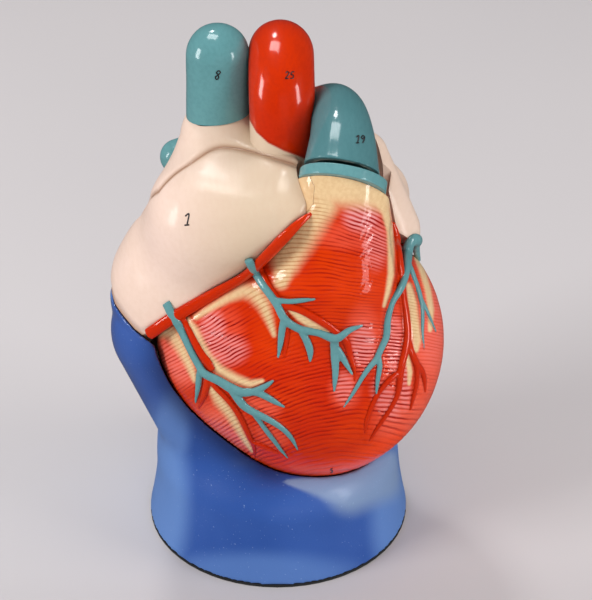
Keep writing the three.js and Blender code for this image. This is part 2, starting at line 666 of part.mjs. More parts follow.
const stepWay = (extra) => blob(grow(extra - CRADLE_STEP, atriaWay), point(-30, 10, 185), UP, 28, 18);
const wayOut = (extra) =>
  join(
    blob(grow(extra, ventriclesWay), VENTRICLES_CENTRE, AHEAD, 28, 18),
    blob(grow(extra, atriaWay), point(-30, 10, 185), UP, 28, 18).subtract(
      rimZone(-extra).subtract(stepWay(extra)),
    ),
  );
const shellFoot = FELT_THICKNESS + GAP;
const plateTop = shellFoot + PLATE_THICKNESS;
const standInside = cut(blob(grow(-STAND_WALL, standForm), STAND_CENTRE, UP, 20, 12), wayOut(CRADLE_WALL));
const screwPlaces = Array.from({ length: SCREW_COUNT }, (_, i) => {
  const angle = (2 * Math.PI * (i + 0.5)) / SCREW_COUNT;
  return point(SCREW_CIRCLE * Math.cos(angle), SCREW_CIRCLE * Math.sin(angle), 0);
});
const upright = (place, bottom, top, radius, sides) =>
  rod(place.clone().setZ(bottom), place.clone().setZ(top), radius, sides);
const headFoot = shellFoot + 0.2; // screw heads lie sunk in the plate
const screw = (place, margin) =>
  join(
    upright(place, headFoot - margin, headFoot + SCREW_HEAD_HEIGHT + margin, SCREW_HEAD_RADIUS + margin, 10),
    upright(place, headFoot + 0.8, shellFoot + SCREW_LENGTH + margin, SCREW_RADIUS + margin, 10),
  );
const screwHoles = screwPlaces.map((place) => screw(place, PIN_CLEARANCE));
const posts = screwPlaces.map((place) => upright(place, plateTop + GAP, POST_HEIGHT, POST_RADIUS, 16));
const boss = upright(ROD_PLACE, BOSS_FOOT, STAND_TOP, BOSS_RADIUS, 20);
const hollowStand = cut(standMass.intersect(floor(shellFoot)), standInside);
const flushLayer = atriaMass.intersect(rimZone(-CRADLE_GAP));
const shell = join(join(hollowStand, boss, ...posts).intersect(standMass), flushLayer);
const plateSeat = disc(0, plateTop + GAP, PLATE_RADIUS + GAP, 48);
const cradleCut = [wayOut(CRADLE_GAP), atriumZone(2 * GAP)];
add("stand_shell", "blue", cut(shell, ...cradleCut, plateSeat, rodHole, ...screwHoles));
add("base_plate", "plate", cut(disc(shellFoot, plateTop, PLATE_RADIUS, 48), ...screwHoles));
add("felt_pad", "felt", disc(0, FELT_THICKNESS, STAND_RADIUS - FELT_MARGIN, 48));
screwPlaces.forEach((place, i) => add(`base_screw_${i + 1}`, "steel", screw(place, 0)));
const nutTop = BOSS_FOOT - GAP;
const nut = cut(upright(ROD_PLACE, nutTop - NUT_THICKNESS, nutTop, NUT_RADIUS, 6), rodHole);
add("rod_nut", "steel", nut);
add("support_rod", "steel", upright(ROD_PLACE, nutTop - NUT_THICKNESS - 3, ROD_TOP, ROD_RADIUS, 20));

const COLOURS = {
  muscle: [0.78, 0.12, 0.05, 0.3],
  artery: [0.78, 0.08, 0.03, 0.3],
  cream: [0.87, 0.74, 0.62, 0.3],
  teal: [0.2, 0.45, 0.45, 0.3],
  blue: [0.12, 0.28, 0.66, 0.3],
  valve: [0.86, 0.8, 0.68, 0.4],
  steel: [0.6, 0.6, 0.6, 0.35],
  plate: [0.2, 0.19, 0.18, 0.7],
  felt: [0.03, 0.03, 0.03, 0.95],
};
const heart = new THREE.Group();
for (const [name, { slot, solid }] of Object.entries(solids)) {
  const [r, g, b, roughness] = COLOURS[slot];
  const material = new THREE.MeshStandardMaterial({ color: new THREE.Color(r, g, b), roughness });
  const mesh = new THREE.Mesh(toGeometry(solid), material);
  mesh.name = name;
  heart.add(mesh);
}
export default heart;
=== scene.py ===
"""The painted look of a heart anatomy model, twice life size, on its cast blue stand.

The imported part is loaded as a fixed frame. Every form here is worked out in millimetres in that frame: its
origin is the middle of the stand's underside, +Z is up and -Y is in front. Finished pieces are in metres.
"""

import logging
import math
from dataclasses import dataclass
from enum import Enum
from itertools import combinations
from typing import Callable, Iterable, Sequence

import bpy
import numpy as np
from mathutils import Matrix, Vector
from mathutils.geometry import tessellate_polygon

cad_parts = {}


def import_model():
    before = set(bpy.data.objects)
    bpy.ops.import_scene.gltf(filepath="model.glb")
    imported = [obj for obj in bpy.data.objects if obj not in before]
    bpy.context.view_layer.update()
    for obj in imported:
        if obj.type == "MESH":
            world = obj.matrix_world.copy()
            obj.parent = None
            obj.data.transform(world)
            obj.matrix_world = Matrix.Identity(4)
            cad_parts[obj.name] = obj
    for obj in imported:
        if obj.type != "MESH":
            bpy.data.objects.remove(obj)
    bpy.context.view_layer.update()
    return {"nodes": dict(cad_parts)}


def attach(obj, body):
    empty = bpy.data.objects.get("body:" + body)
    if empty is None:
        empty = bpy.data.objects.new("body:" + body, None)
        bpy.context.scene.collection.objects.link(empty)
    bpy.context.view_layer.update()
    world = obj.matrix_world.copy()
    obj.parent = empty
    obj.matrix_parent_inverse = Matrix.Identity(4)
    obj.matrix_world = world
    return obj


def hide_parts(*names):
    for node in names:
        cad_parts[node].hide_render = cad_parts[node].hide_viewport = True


LOG = logging.getLogger("heart")
MM = 0.001

Point = tuple[float, float, float]
Colour = tuple[float, float, float, float]
Form = Callable[[np.ndarray], np.ndarray]
Socket = bpy.types.NodeSocket
Inputs = dict[int | str, object]
UP = np.array([0.0, 0.0, 1.0])
FAR = 99.0


def unit(x: float, y: float, z: float) -> np.ndarray:
    """A direction of length 1."""
    made = np.array([x, y, z], float)
    return made / np.linalg.norm(made)


def smooth_step(low: float, high: float, values: np.ndarray) -> np.ndarray:
    """0 up to low, 1 from high, with a soft rise between them."""
    share = np.clip((values - low) / (high - low), 0.0, 1.0)
    return share * share * (3.0 - 2.0 * share)


# Forms: a place's rough distance from a rounded shape, negative inside it


def ellipsoid(centre: Point, radii: Point, tilt: float = 0.0) -> Form:
    """An ellipsoid, turned about the Y axis.

    Args:
        centre: its middle.
        radii: its half sizes along X, Y and Z before the turn.
        tilt: the turn in degrees.

    Returns:
        The form.
    """
    middle, half = np.array(centre, float), np.array(radii, float)
    cos, sin = math.cos(math.radians(tilt)), math.sin(math.radians(tilt))

    def form(places: np.ndarray) -> np.ndarray:
        """The rough distance of each place from the shape."""
        q = places - middle
        local = np.stack([q[:, 0] * cos - q[:, 2] * sin, q[:, 1], q[:, 0] * sin + q[:, 2] * cos], axis=1)
        near = np.linalg.norm(local / half, axis=1)
        slope = np.maximum(np.linalg.norm(local / half**2, axis=1), 1e-9)
        return near * (near - 1.0) / slope

    return form


def limb(start: Point, end: Point, start_radius: float, end_radius: float) -> Form:
    """A round-ended limb whose radius changes evenly from start to end.

    Args:
        start: the middle of its first end.
        end: the middle of its other end.
        start_radius: its radius at the start.
        end_radius: its radius at the end.

    Returns:
        The form.
    """
    a, along = np.array(start, float), np.array(end, float) - np.array(start, float)
    length = float(along @ along)

    def form(places: np.ndarray) -> np.ndarray:
        """The rough distance of each place from the shape."""
        share = np.clip((places - a) @ along / length, 0.0, 1.0)
        radius = start_radius + (end_radius - start_radius) * share
        return np.linalg.norm(places - a - share[:, None] * along, axis=1) - radius

    return form


def soft_min(a: np.ndarray, b: np.ndarray, softness: float) -> np.ndarray:
    """The lesser of two distances, rounded where they meet."""
    share = np.clip(0.5 + 0.5 * (b - a) / softness, 0.0, 1.0)
    return b + (a - b) * share - softness * share * (1.0 - share)


def blend(softness: float, *forms: Form) -> Form:
    """Several forms flowing into each other.

    Args:
        softness: how wide they flow together.
        forms: the forms.

    Returns:
        The form.
    """

    def form(places: np.ndarray) -> np.ndarray:
        """The rough distance of each place from the shape."""
        value = forms[0](places)
        for other in forms[1:]:
            value = soft_min(value, other(places), softness)
        return value

    return form


def grow(amount: float, form: Form) -> Form:
    """A form swollen by an amount, or shrunk by a negative one."""
    return lambda places: form(places) - amount


def trim(softness: float, a: Form, b: Form) -> Form:
    """What two forms share, with a rounded edge."""
    return lambda places: -soft_min(-a(places), -b(places), softness)


def hollow(softness: float, a: Form, b: Form) -> Form:
    """What is left of one form outside another, with a rounded edge."""
    return lambda places: -soft_min(-a(places), b(places), softness)


def nearest(*forms: Form) -> Form:
    """Several forms together, with sharp creases between them."""
    return lambda places: np.min([form(places) for form in forms], axis=0)


def along_line(line: np.ndarray, radii: np.ndarray) -> Form:
    """The round form of a hose."""
    spans = zip(line, line[1:], radii, radii[1:])
    return nearest(*[limb(tuple(a), tuple(b), float(r), float(s)) for a, b, r, s in spans])


def swept(form: Form, direction: np.ndarray, length: float, stops: int) -> Form:
    """The space a form passes through while it moves away."""
    return lambda places: np.min(
        [form(places - direction * (length * stop / stops)) for stop in range(stops + 1)], axis=0
    )


def outwards(form: Form, places: np.ndarray, step: float = 0.3) -> np.ndarray:
    """The directions straight out of a form.

    Args:
        form: the form.
        places: one row for each place.
        step: how far to each side the form is read.

    Returns:
        One direction for each place.
    """
    slope = np.empty_like(places)
    for axis in range(3):
        shift = np.zeros(3)
        shift[axis] = step
        slope[:, axis] = form(places + shift) - form(places - shift)
    return slope / np.maximum(np.linalg.norm(slope, axis=1), 1e-9)[:, None]


# Closed solids


def linked(name: str, data: bpy.types.ID) -> bpy.types.Object:
    """A new object in the scene."""
    made = bpy.data.objects.new(name, data)
    bpy.context.scene.collection.objects.link(made)
    return made


def evaluated_mesh(body: bpy.types.Object) -> bpy.types.Mesh:
    """An object's mesh as its modifiers leave it."""
    graph = bpy.context.evaluated_depsgraph_get()
    return bpy.data.meshes.new_from_object(body.evaluated_get(graph), depsgraph=graph)


def read(items: bpy.types.bpy_prop_collection, name: str) -> np.ndarray:
    """A row of three numbers for each corner or face of a mesh."""
    found = np.empty(len(items) * 3, np.float32)
    items.foreach_get(name, found)
    return found.reshape(-1, 3).astype(float)


class Operation(Enum):
    """How two solids are combined."""

    CUT = "DIFFERENCE"
    KEEP = "INTERSECT"
    JOIN = "UNION"


class Solid:
    """A closed surface in millimetres."""

    def __init__(self, mesh: bpy.types.Mesh) -> None:
        """Takes a closed mesh as it is."""
        self.mesh = mesh

    @classmethod
    def of(cls, places: np.ndarray, faces: np.ndarray) -> "Solid":
        """Makes a solid with its faces turned outwards.

        Args:
            places: corners, one row each.
            faces: triangles, as rows of three corner numbers.

        Returns:
            The solid.
        """
        a, b, c = (places[faces[:, k]] for k in range(3))
        if float(np.einsum("ij,ij->i", a, np.cross(b, c)).sum()) < 0.0:
            faces = faces[:, ::-1]
        mesh = bpy.data.meshes.new("solid")
        mesh.vertices.add(len(places))
        mesh.vertices.foreach_set("co", places.astype(np.float32).ravel())
        mesh.loops.add(faces.size)
        mesh.loops.foreach_set("vertex_index", np.ascontiguousarray(faces, np.int32).ravel())
        mesh.polygons.add(len(faces))
        mesh.polygons.foreach_set("loop_start", np.arange(0, faces.size, 3, dtype=np.int32))
        mesh.update(calc_edges=True)
        return cls(mesh)

    def places(self) -> np.ndarray:
        """The corners, one row each."""
        return read(self.mesh.vertices, "co")

    def face_middles(self) -> tuple[np.ndarray, np.ndarray]:
        """The middle and the outward direction of each face."""
        return read(self.mesh.polygons, "center"), read(self.mesh.polygons, "normal")

    def evaluated(self, *modifiers: tuple[str, dict[str, object]]) -> "Solid":
        """This solid after some modifiers.

        Args:
            modifiers: the type of each, with its settings.

        Returns:
            The new solid.
        """
        body = linked("work", self.mesh)
        for kind, settings in modifiers:
            modifier = body.modifiers.new(kind.lower(), kind)
            for name, value in settings.items():
                setattr(modifier, name, value)
        made = evaluated_mesh(body)
        bpy.data.objects.remove(body)
        return Solid(made)

    def _combined(self, operation: Operation, tools: Iterable["Solid"]) -> "Solid":
        """This solid combined with each tool in turn.

        Args:
            operation: how they are combined.
            tools: the other solids.

        Returns:
            The new solid.
        """
        made = self
        for tool in tools:
            other = linked("tool", tool.mesh)
            settings = {"operation": operation.value, "solver": "MANIFOLD", "object": other}
            made = made.evaluated(("BOOLEAN", settings))
            bpy.data.objects.remove(other)
        return made

    def cut(self, *tools: "Solid") -> "Solid":
        """What is left outside the tools."""
        return self._combined(Operation.CUT, tools)

    def keep(self, *tools: "Solid") -> "Solid":
        """What lies inside every tool."""
        return self._combined(Operation.KEEP, tools)

    def join(self, *others: "Solid") -> "Solid":
        """This solid and the others as one."""
        return self._combined(Operation.JOIN, others)

    def moved(self, shift: np.ndarray) -> "Solid":
        """A copy moved along a direction."""
        copy = self.mesh.copy()
        copy.transform(Matrix.Translation(Vector(shift)))
        return Solid(copy)

    def raised(self, relief: Form) -> "Solid":
        """Moves each corner outwards.

        Args:
            relief: how far each place is moved.

        Returns:
            This solid.
        """
        places = self.places()
        places += read(self.mesh.vertices, "normal") * relief(places)[:, None]
        self.mesh.vertices.foreach_set("co", places.astype(np.float32).ravel())
        self.mesh.update()
        return self

    def merged(self, cell: float, rounds: int) -> "Solid":
        """Overlapping shells made one skin, with soft creases.

        Args:
            cell: the grid size of the skin.
            rounds: how often the skin is smoothed.

        Returns:
            The skin.
        """
        remesh = ("REMESH", {"mode": "VOXEL", "voxel_size": cell})
        return self.evaluated(remesh, ("SMOOTH", {"factor": 0.5, "iterations": rounds}), ("TRIANGULATE", {}))


def heap(solids: Sequence[Solid]) -> Solid:
    """Puts several solids in one mesh, still overlapping.

    Args:
        solids: the solids, made of triangles.

    Returns:
        The heap.
    """
    places, faces, count = [], [], 0
    for solid in solids:
        found = solid.places()
        corners = np.empty(len(solid.mesh.loops), np.int32)
        solid.mesh.loops.foreach_get("vertex_index", corners)
        places.append(found)
        faces.append(corners.reshape(-1, 3) + count)
        count += len(found)
    return Solid.of(np.concatenate(places), np.concatenate(faces))


def sphere_grid(detail: int) -> tuple[np.ndarray, np.ndarray]:
    """An even triangle grid over the unit sphere.

    Args:
        detail: into how many parts each side of an icosahedron is split.

    Returns:
        The directions and the triangles.
    """
    golden = (1.0 + math.sqrt(5.0)) / 2.0
    radius = math.hypot(1.0, golden)
    corners = []
    for a in (-1.0, 1.0):
        for b in (-golden, golden):
            corners += [(0.0, a, b), (a, b, 0.0), (b, 0.0, a)]
    corners = np.array(corners) / radius
    near = np.abs(np.linalg.norm(corners[:, None] - corners[None], axis=2) - 2.0 / radius) < 1e-6
    steps = [(i, j) for i in range(detail + 1) for j in range(detail + 1 - i)]
    number = {step: k for k, step in enumerate(steps)}
    small = []
    for i, j in steps:
        if i + j < detail:
            small.append((number[i, j], number[i + 1, j], number[i, j + 1]))
        if i + j < detail - 1:
            small.append((number[i + 1, j], number[i + 1, j + 1], number[i, j + 1]))
    shares, small_faces = np.array(steps, float) / detail, np.array(small)
    places, faces = [], []
    for a, b, c in combinations(range(len(corners)), 3):
        if near[a, b] and near[b, c] and near[a, c]:
            first, second, third = corners[a], corners[b], corners[c]
            if float(np.dot(np.cross(second - first, third - first), first)) < 0.0:
                second, third = third, second
            faces.append(small_faces + len(places) * len(steps))
            places.append(first + shares[:, :1] * (second - first) + shares[:, 1:] * (third - first))
    every = np.concatenate(places)
    every /= np.linalg.norm(every, axis=1)[:, None]
    _, first_use, twin = np.unique(np.round(every, 6), axis=0, return_index=True, return_inverse=True)
    return every[first_use], twin.reshape(-1)[np.concatenate(faces)]


@dataclass(frozen=True)
class Skin:
    """How finely a form's surface is sampled from a centre inside it.

    Args:
        centre: a place inside from which the whole surface is seen.
        detail: the fineness of the grid.
        lean: a direction, shorter than 1, towards which the grid is finer.
        reach: how far out the search for the surface starts.
        march: the least step of the search.
    """

    centre: Point
    detail: int
    lean: Point = (0.0, 0.0, 0.0)
    reach: float = 200.0
    march: float = 1.5

    def over(self, form: Form, relief: Form | None = None) -> Solid:
        """The closed surface of a form.

        Args:
            form: the form.
            relief: how far each place is raised from it.

        Returns:
            The solid.
        """
        directions, faces = sphere_grid(self.detail)
        directions = directions + np.array(self.lean)
        directions /= np.linalg.norm(directions, axis=1)[:, None]
        centre = np.array(self.centre, float)
        inside = np.full(len(directions), self.reach)
        outside = inside.copy()
        active = np.arange(len(directions))
        while len(active):
            value = form(centre + directions[active] * inside[active, None])
            active, value = active[value > 0.0], value[value > 0.0]
            outside[active] = inside[active]
            inside[active] = np.maximum(inside[active] - np.maximum(self.march, 0.5 * value), self.march)
            active = active[inside[active] > self.march]
        for _ in range(16):
            middle = (inside + outside) / 2.0
            above = form(centre + directions * middle[:, None]) > 0.0
            outside = np.where(above, middle, outside)
            inside = np.where(above, inside, middle)
        places = centre + directions * ((inside + outside) / 2.0)[:, None]
        if relief is not None:
            places = places + outwards(form, places) * relief(places)[:, None]
        return Solid.of(places, faces)


@dataclass(frozen=True)
class Seam:
    """A plane between two pieces, and the side its normal points to."""

    place: Point
    normal: np.ndarray

    def back(self) -> "Seam":
        """The same plane with its other side."""
        return Seam(self.place, -self.normal)

    def along(self, distance: float) -> np.ndarray:
        """The place some way along the normal."""
        return np.array(self.place, float) + self.normal * distance

    def depth(self, places: np.ndarray) -> np.ndarray:
        """How far each place lies beyond the plane."""
        return (places - np.array(self.place)) @ self.normal

    def side(self, distance: float = 0.0, size: float = 600.0) -> Solid:
        """Everything beyond the plane.

        Args:
            distance: how far the plane is moved along its normal first.
            size: the size of the block that stands for everything.

        Returns:
            The block.
        """
        turn = Vector((0.0, 0.0, 1.0)).rotation_difference(Vector(self.normal)).to_matrix()
        corners = np.array([(x, y, z) for x in (-1, 1) for y in (-1, 1) for z in (0, 1)], float)
        corners *= np.array([size / 2.0, size / 2.0, size])
        faces = [(0, 1, 3), (0, 3, 2), (4, 6, 7), (4, 7, 5), (0, 4, 5), (0, 5, 1)]
        faces += [(2, 3, 7), (2, 7, 6), (0, 2, 6), (0, 6, 4), (1, 5, 7), (1, 7, 3)]
        return Solid.of(corners @ np.array(turn).T + self.along(distance), np.array(faces))


def turned_up(direction: np.ndarray) -> np.ndarray:
    """The turn that brings a direction upright, as a matrix."""
    return np.array(Vector(direction).rotation_difference(Vector((0.0, 0.0, 1.0))).to_matrix())


def prism(outline: Sequence[Point], direction: np.ndarray, margin: float, length: float = 500.0) -> Solid:
    """A long bar along a direction whose outline passes through some places.

    Args:
        outline: the places, in the order that keeps the bar on the left hand.
        direction: the way it runs.
        margin: how far the outline is moved outwards.
        length: how long it is.

    Returns:
        The solid.
    """
    turn = turned_up(direction)
    flat = (np.array(outline, float) @ turn.T)[:, :2]
    along = np.roll(flat, -1, axis=0) - np.roll(flat, 1, axis=0)
    along /= np.linalg.norm(along, axis=1)[:, None]
    flat = flat + margin * np.stack([along[:, 1], -along[:, 0]], axis=1)
    count = len(flat)
    ends = [np.column_stack([flat, np.full(count, z)]) for z in (-length / 2.0, length / 2.0)]
    fan = outline_triangles(flat)
    walls = []
    for a in range(count):
        b = (a + 1) % count
        walls += [(a, b, b + count), (a, b + count, a + count)]
    lids = [(a, c, b) for a, b, c in fan] + [tuple(k + count for k in face) for face in fan]
    return Solid.of(np.concatenate(ends) @ turn, np.array(walls + lids))


def outline_triangles(flat: np.ndarray) -> list[tuple[int, int, int]]:
    """The triangles that fill a flat outline, turned as the outline is."""
    found = []
    for a, b, c in tessellate_polygon([[Vector((*p, 0.0)) for p in flat]]):
        ab, ac = flat[b] - flat[a], flat[c] - flat[a]
        found.append((a, b, c) if ab[0] * ac[1] - ab[1] * ac[0] > 0.0 else (a, c, b))
    area = sum(p[0] * q[1] - p[1] * q[0] for p, q in zip(flat, np.roll(flat, -1, axis=0)))
    return found if area > 0.0 else [(a, c, b) for a, b, c in found]


def smooth_line(places: Sequence[Point], steps: int) -> np.ndarray:
    """A smooth line through some places, with even knots for each span.

    Args:
        places: the places it passes through.
        steps: how many parts the whole line has.

    Returns:
        Its points, one row each.
    """
    p = np.array(places, float)
    p = np.concatenate([[2.0 * p[0] - p[1]], p, [2.0 * p[-1] - p[-2]]])
    spans = len(places) - 1
    found = []
    for step in range(steps + 1):
        share = step / steps * spans
        k = min(int(share), spans - 1)
        t = share - k
        a, b, c, d = p[k : k + 4]
        gaps = [max(math.sqrt(float(np.linalg.norm(v))), 1e-4) for v in (b - a, c - b, d - c)]
        leave = (b - a) / gaps[0] - (c - a) / (gaps[0] + gaps[1]) + (c - b) / gaps[1]
        arrive = (c - b) / gaps[1] - (d - b) / (gaps[1] + gaps[2]) + (d - c) / gaps[2]
        leave, arrive = leave * gaps[1], arrive * gaps[1]
        bend, twist = 3.0 * (c - b) - 2.0 * leave - arrive, 2.0 * (b - c) + leave + arrive
        found.append(b + leave * t + bend * t**2 + twist * t**3)
    return np.array(found)


def hose(
    line: np.ndarray,
    radii: np.ndarray,
    sides: int = 24,
    flatten: np.ndarray | None = None,
    thin: float = 0.33,
) -> Solid:
    """A tube along a line, with flat ends.

    Args:
        line: its middle, one row for each ring.
        radii: the radius of each ring.
        sides: corners of each ring.
        flatten: a direction for each ring along which it is thinner.
        thin: the share of its thickness that it loses there.

    Returns:
        The solid.
    """
    count = len(line)
    ahead = np.gradient(line, axis=0)
    ahead /= np.linalg.norm(ahead, axis=1)[:, None]
    across = np.cross(ahead[0], UP if abs(ahead[0] @ UP) < 0.9 else np.array([1.0, 0.0, 0.0]))
    rings = []
    angles = 2.0 * np.pi * np.arange(sides) / sides
    for k in range(count):
        across = across - (across @ ahead[k]) * ahead[k]
        across /= np.linalg.norm(across)
        other = np.cross(ahead[k], across)
        ring = radii[k] * (np.outer(np.cos(angles), across) + np.outer(np.sin(angles), other))
        if flatten is not None:
            ring -= thin * np.outer(ring @ flatten[k], flatten[k])
        rings.append(line[k] + ring)
    places = np.concatenate([*rings, line[:1], line[-1:]])
    faces = []
    for k in range(count - 1):
        for i in range(sides):
            a, b = k * sides + i, k * sides + (i + 1) % sides
            faces += [(a, b, b + sides), (a, b + sides, a + sides)]
    first, last = count * sides, count * sides + 1
    for i in range(sides):
        j = (i + 1) % sides
        faces += [(first, j, i), (last, last - 1 - sides + i, last - 1 - sides + j)]
    return Solid.of(places, np.array(faces))


def tube(places: Sequence[Point], radii: Sequence[float], sides: int = 40, steps: int = 48) -> Solid:
    """A tube through some places, with a radius at each equal share of its length."""
    share = np.linspace(0.0, len(radii) - 1.0, steps + 1)
    return hose(smooth_line(places, steps), np.interp(share, np.arange(len(radii)), radii), sides)


def rod(
    start: Sequence[float], end: Sequence[float], radius: float, end_radius: float | None = None
) -> Solid:
    """A straight round bar.

    Args:
        start: the middle of its first end.
        end: the middle of its other end.
        radius: its radius, or that of its first end.
        end_radius: the radius of its other end, where it tapers.

    Returns:
        The solid.
    """
    last = radius if end_radius is None else end_radius
    share = np.linspace(0.0, 1.0, 25)[:, None]
    line = np.array(start, float) * (1.0 - share) + np.array(end, float) * share
    return hose(line, radius + (last - radius) * share[:, 0], 60)


def ball(centre: Sequence[float], radius: float, detail: int = 12) -> Solid:
    """A round ball."""
    directions, faces = sphere_grid(detail)
    return Solid.of(np.array(centre, float) + radius * directions, faces)


# The photograph's view of the model


@dataclass(frozen=True)
class PhotoView:
    """The camera that took the photograph, in millimetres and in the photograph's own pixels."""

    elevation: float = 33.0
    distance: float = 1100.0
    target: Point = (10.5, 0.0, 145.0)
    focal: float = 1964.0
    width: int = 592
    height: int = 600
    sensor_mm: float = 36.0

    @property
    def ahead(self) -> np.ndarray:
        """The direction that it looks in."""
        angle = math.radians(self.elevation)
        return np.array([0.0, math.cos(angle), -math.sin(angle)])

    @property
    def upwards(self) -> np.ndarray:
        """The direction that is up in the picture."""
        return np.cross(np.array([1.0, 0.0, 0.0]), self.ahead)

    @property
    def eye(self) -> np.ndarray:
        """Where it stands."""
        return np.array(self.target) - self.ahead * self.distance

    def project(self, places: np.ndarray) -> np.ndarray:
        """The pixel at which each place is seen."""
        v = places - self.eye
        depth = v @ self.ahead
        x = self.width / 2.0 + self.focal * v[:, 0] / depth
        return np.stack([x, self.height / 2.0 - self.focal * (v @ self.upwards) / depth], axis=1)

    def land(self, form: Form, pixels: np.ndarray) -> np.ndarray:
        """Where the line of sight through each pixel meets a form, or passes nearest to it.

        Args:
            form: the form.
            pixels: one row for each pixel.

        Returns:
            The places on the form.
        """
        pixels = np.asarray(pixels, float)
        ways = self.ahead + np.outer((pixels[:, 0] - self.width / 2.0) / self.focal, [1.0, 0.0, 0.0])
        ways = ways - np.outer((pixels[:, 1] - self.height / 2.0) / self.focal, self.upwards)
        ways /= np.linalg.norm(ways, axis=1)[:, None]
        span = np.full(len(pixels), self.distance - 200.0)
        best, least = span.copy(), np.full(len(pixels), np.inf)
        for _ in range(260):
            value = form(self.eye + ways * span[:, None])
            better = value < least
            best, least = np.where(better, span, best), np.minimum(value, least)
            span = span + np.where(least < 0.02, 0.0, np.maximum(0.5 * value, 0.25))
        places = self.eye + ways * best[:, None]
        for _ in range(4):
            places = places - outwards(form, places) * form(places)[:, None]
        return places


VIEW = PhotoView()


# The forms of the heart and its stand


@dataclass(frozen=True)
class HeartForms:
    """The rounded forms that the pieces are cut from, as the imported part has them.

    Args:
        paint_depth: how far the moulded skin lies inside the part's surface, so that relief stays within it.
        front_wall: the thickness of the ventricles' front.
        septum: the thickness of the wall between the ventricles.
        atrium_wall: the thickness of the atria's walls.
        stand_radius: the radius of the stand's foot.
        stand_waist: its radius above the flare.
        waist_height: where the flare ends.
        stand_top: the height of its top.
        rounding: the radius of its rolled top edge.
    """

    paint_depth: float = 0.3
    front_wall: float = 8.0
    septum: float = 13.0
    atrium_wall: float = 5.5
    stand_radius: float = 77.2
    stand_waist: float = 70.5
    waist_height: float = 46.0
    stand_top: float = 60.0
    rounding: float = 20.0

    @property
    def ventricles(self) -> Form:
        """Both ventricles and the outflow tract."""
        left = ellipsoid((25, -10, 119), (68, 63, 78), 16)
        right = ellipsoid((-13, -20, 136), (54, 49, 54), -32)
        conus = limb((30, -34, 190), (36, -30, 258), 34, 21.5)
        return grow(-self.paint_depth, blend(24, left, right, conus))

    @property
    def right_atrium(self) -> Form:
        """The right atrium with its auricle."""
        side = ellipsoid((-47, 0, 149), (45, 49, 50), 10)
        body = limb((-44, 2, 160), (-34, -4, 206), 44, 34)
        auricle = limb((-34, -20, 205), (7.5, -38, 222.5), 32, 20.5)
        return grow(-self.paint_depth, blend(16, side, body, auricle))

    @property
    def left_atrium(self) -> Form:
        """The left atrium."""
        return grow(-self.paint_depth, ellipsoid((28, 40, 188), (42, 34, 34)))

    @property
    def atria(self) -> Form:
        """Both atria and their roof."""
        dome = limb((-31, 16, 200), (-31, 20, 240), 34, 21)
        roof = blend(14, dome, limb((-26, 6, 222), (8, -26, 228), 26, 20))
        return blend(8, self.right_atrium, grow(-self.paint_depth, roof), self.left_atrium)

    @property
    def left_auricle(self) -> Form:
        """The auricle beside the pulmonary trunk."""
        tip = limb((47, 10, 232), (62, 2, 190), 13.5, 17)
        return grow(-self.paint_depth, blend(10, tip, ellipsoid((50, 26, 196), (24, 20, 26))))

    @property
    def left_chamber(self) -> Form:
        """The hollow of the left ventricle."""
        return ellipsoid((50, 10, 120), (26, 24, 46), 12)

    @property
    def right_chamber(self) -> Form:
        """The hollow of the right ventricle."""
        room = trim(6, grow(-self.front_wall, self.ventricles), ellipsoid((-8, -22, 138), (50, 42, 58)))
        return hollow(5, room, grow(self.septum, self.left_chamber))

    @property
    def shoulder(self) -> Form:
        """The part of the stand that rises at the back of the right atrium."""
        side = limb((-23, -6, 60), (-57, -10, 133), 41, 36)
        return blend(16, side, limb((-40, 24, 60), (-60, 24, 114), 30, 26))

    @property
    def stand(self) -> Form:
        """The round stand with its rolled top and flared foot, and its shoulder."""
        return blend(14, self._drum, self.shoulder)

    def _drum(self, places: np.ndarray) -> np.ndarray:
        """The rough distance of each place from the round part of the stand."""
        rise = np.maximum(0.0, 1.0 - places[:, 2] / self.waist_height) ** 1.6
        flare = self.stand_waist + (self.stand_radius - self.stand_waist) * rise
        out = np.hypot(places[:, 0], places[:, 1]) - flare + self.rounding
        over = places[:, 2] - self.stand_top + self.rounding
        return np.hypot(np.maximum(out, 0.0), np.maximum(over, 0.0)) - self.rounding


FORMS = HeartForms()


# Painted marks read from the photograph, in its pixels


@dataclass(frozen=True)
class Strip:
    """A painted band along a line, with a width at each point.

    Args:
        points: rows of x, y and width.
        soft: how much of the half width fades out.
    """

    points: tuple[Point, ...]
    soft: float = 0.45

    def shares(self, pixels: np.ndarray) -> np.ndarray:
        """Distances from the line as shares of the band's half width.

        Args:
            pixels: one row for each pixel.

        Returns:
            One share for each pixel, and a large one where the band is far off.
        """
        found = np.full(len(pixels), 9.0)
        for (ax, ay, aw), (bx, by, bw) in zip(self.points, self.points[1:]):
            a, b, reach = np.array((ax, ay)), np.array((bx, by)), max(aw, bw)
            inside = (pixels > np.minimum(a, b) - reach) & (pixels < np.maximum(a, b) + reach)
            near = np.nonzero(inside.all(axis=1))[0]
            if len(near):
                along, q = b - a, pixels[near] - a
                t = np.clip(q @ along / max(float(along @ along), 1e-9), 0.0, 1.0)
                away = np.linalg.norm(q - t[:, None] * along, axis=1)
                found[near] = np.minimum(found[near], away / (0.5 * (aw + (bw - aw) * t)))
        return found

    def mask(self, pixels: np.ndarray) -> np.ndarray:
        """How much of the band's colour each pixel has."""
        return 1.0 - smooth_step(1.0 - self.soft, 1.0 + self.soft, self.shares(pixels))


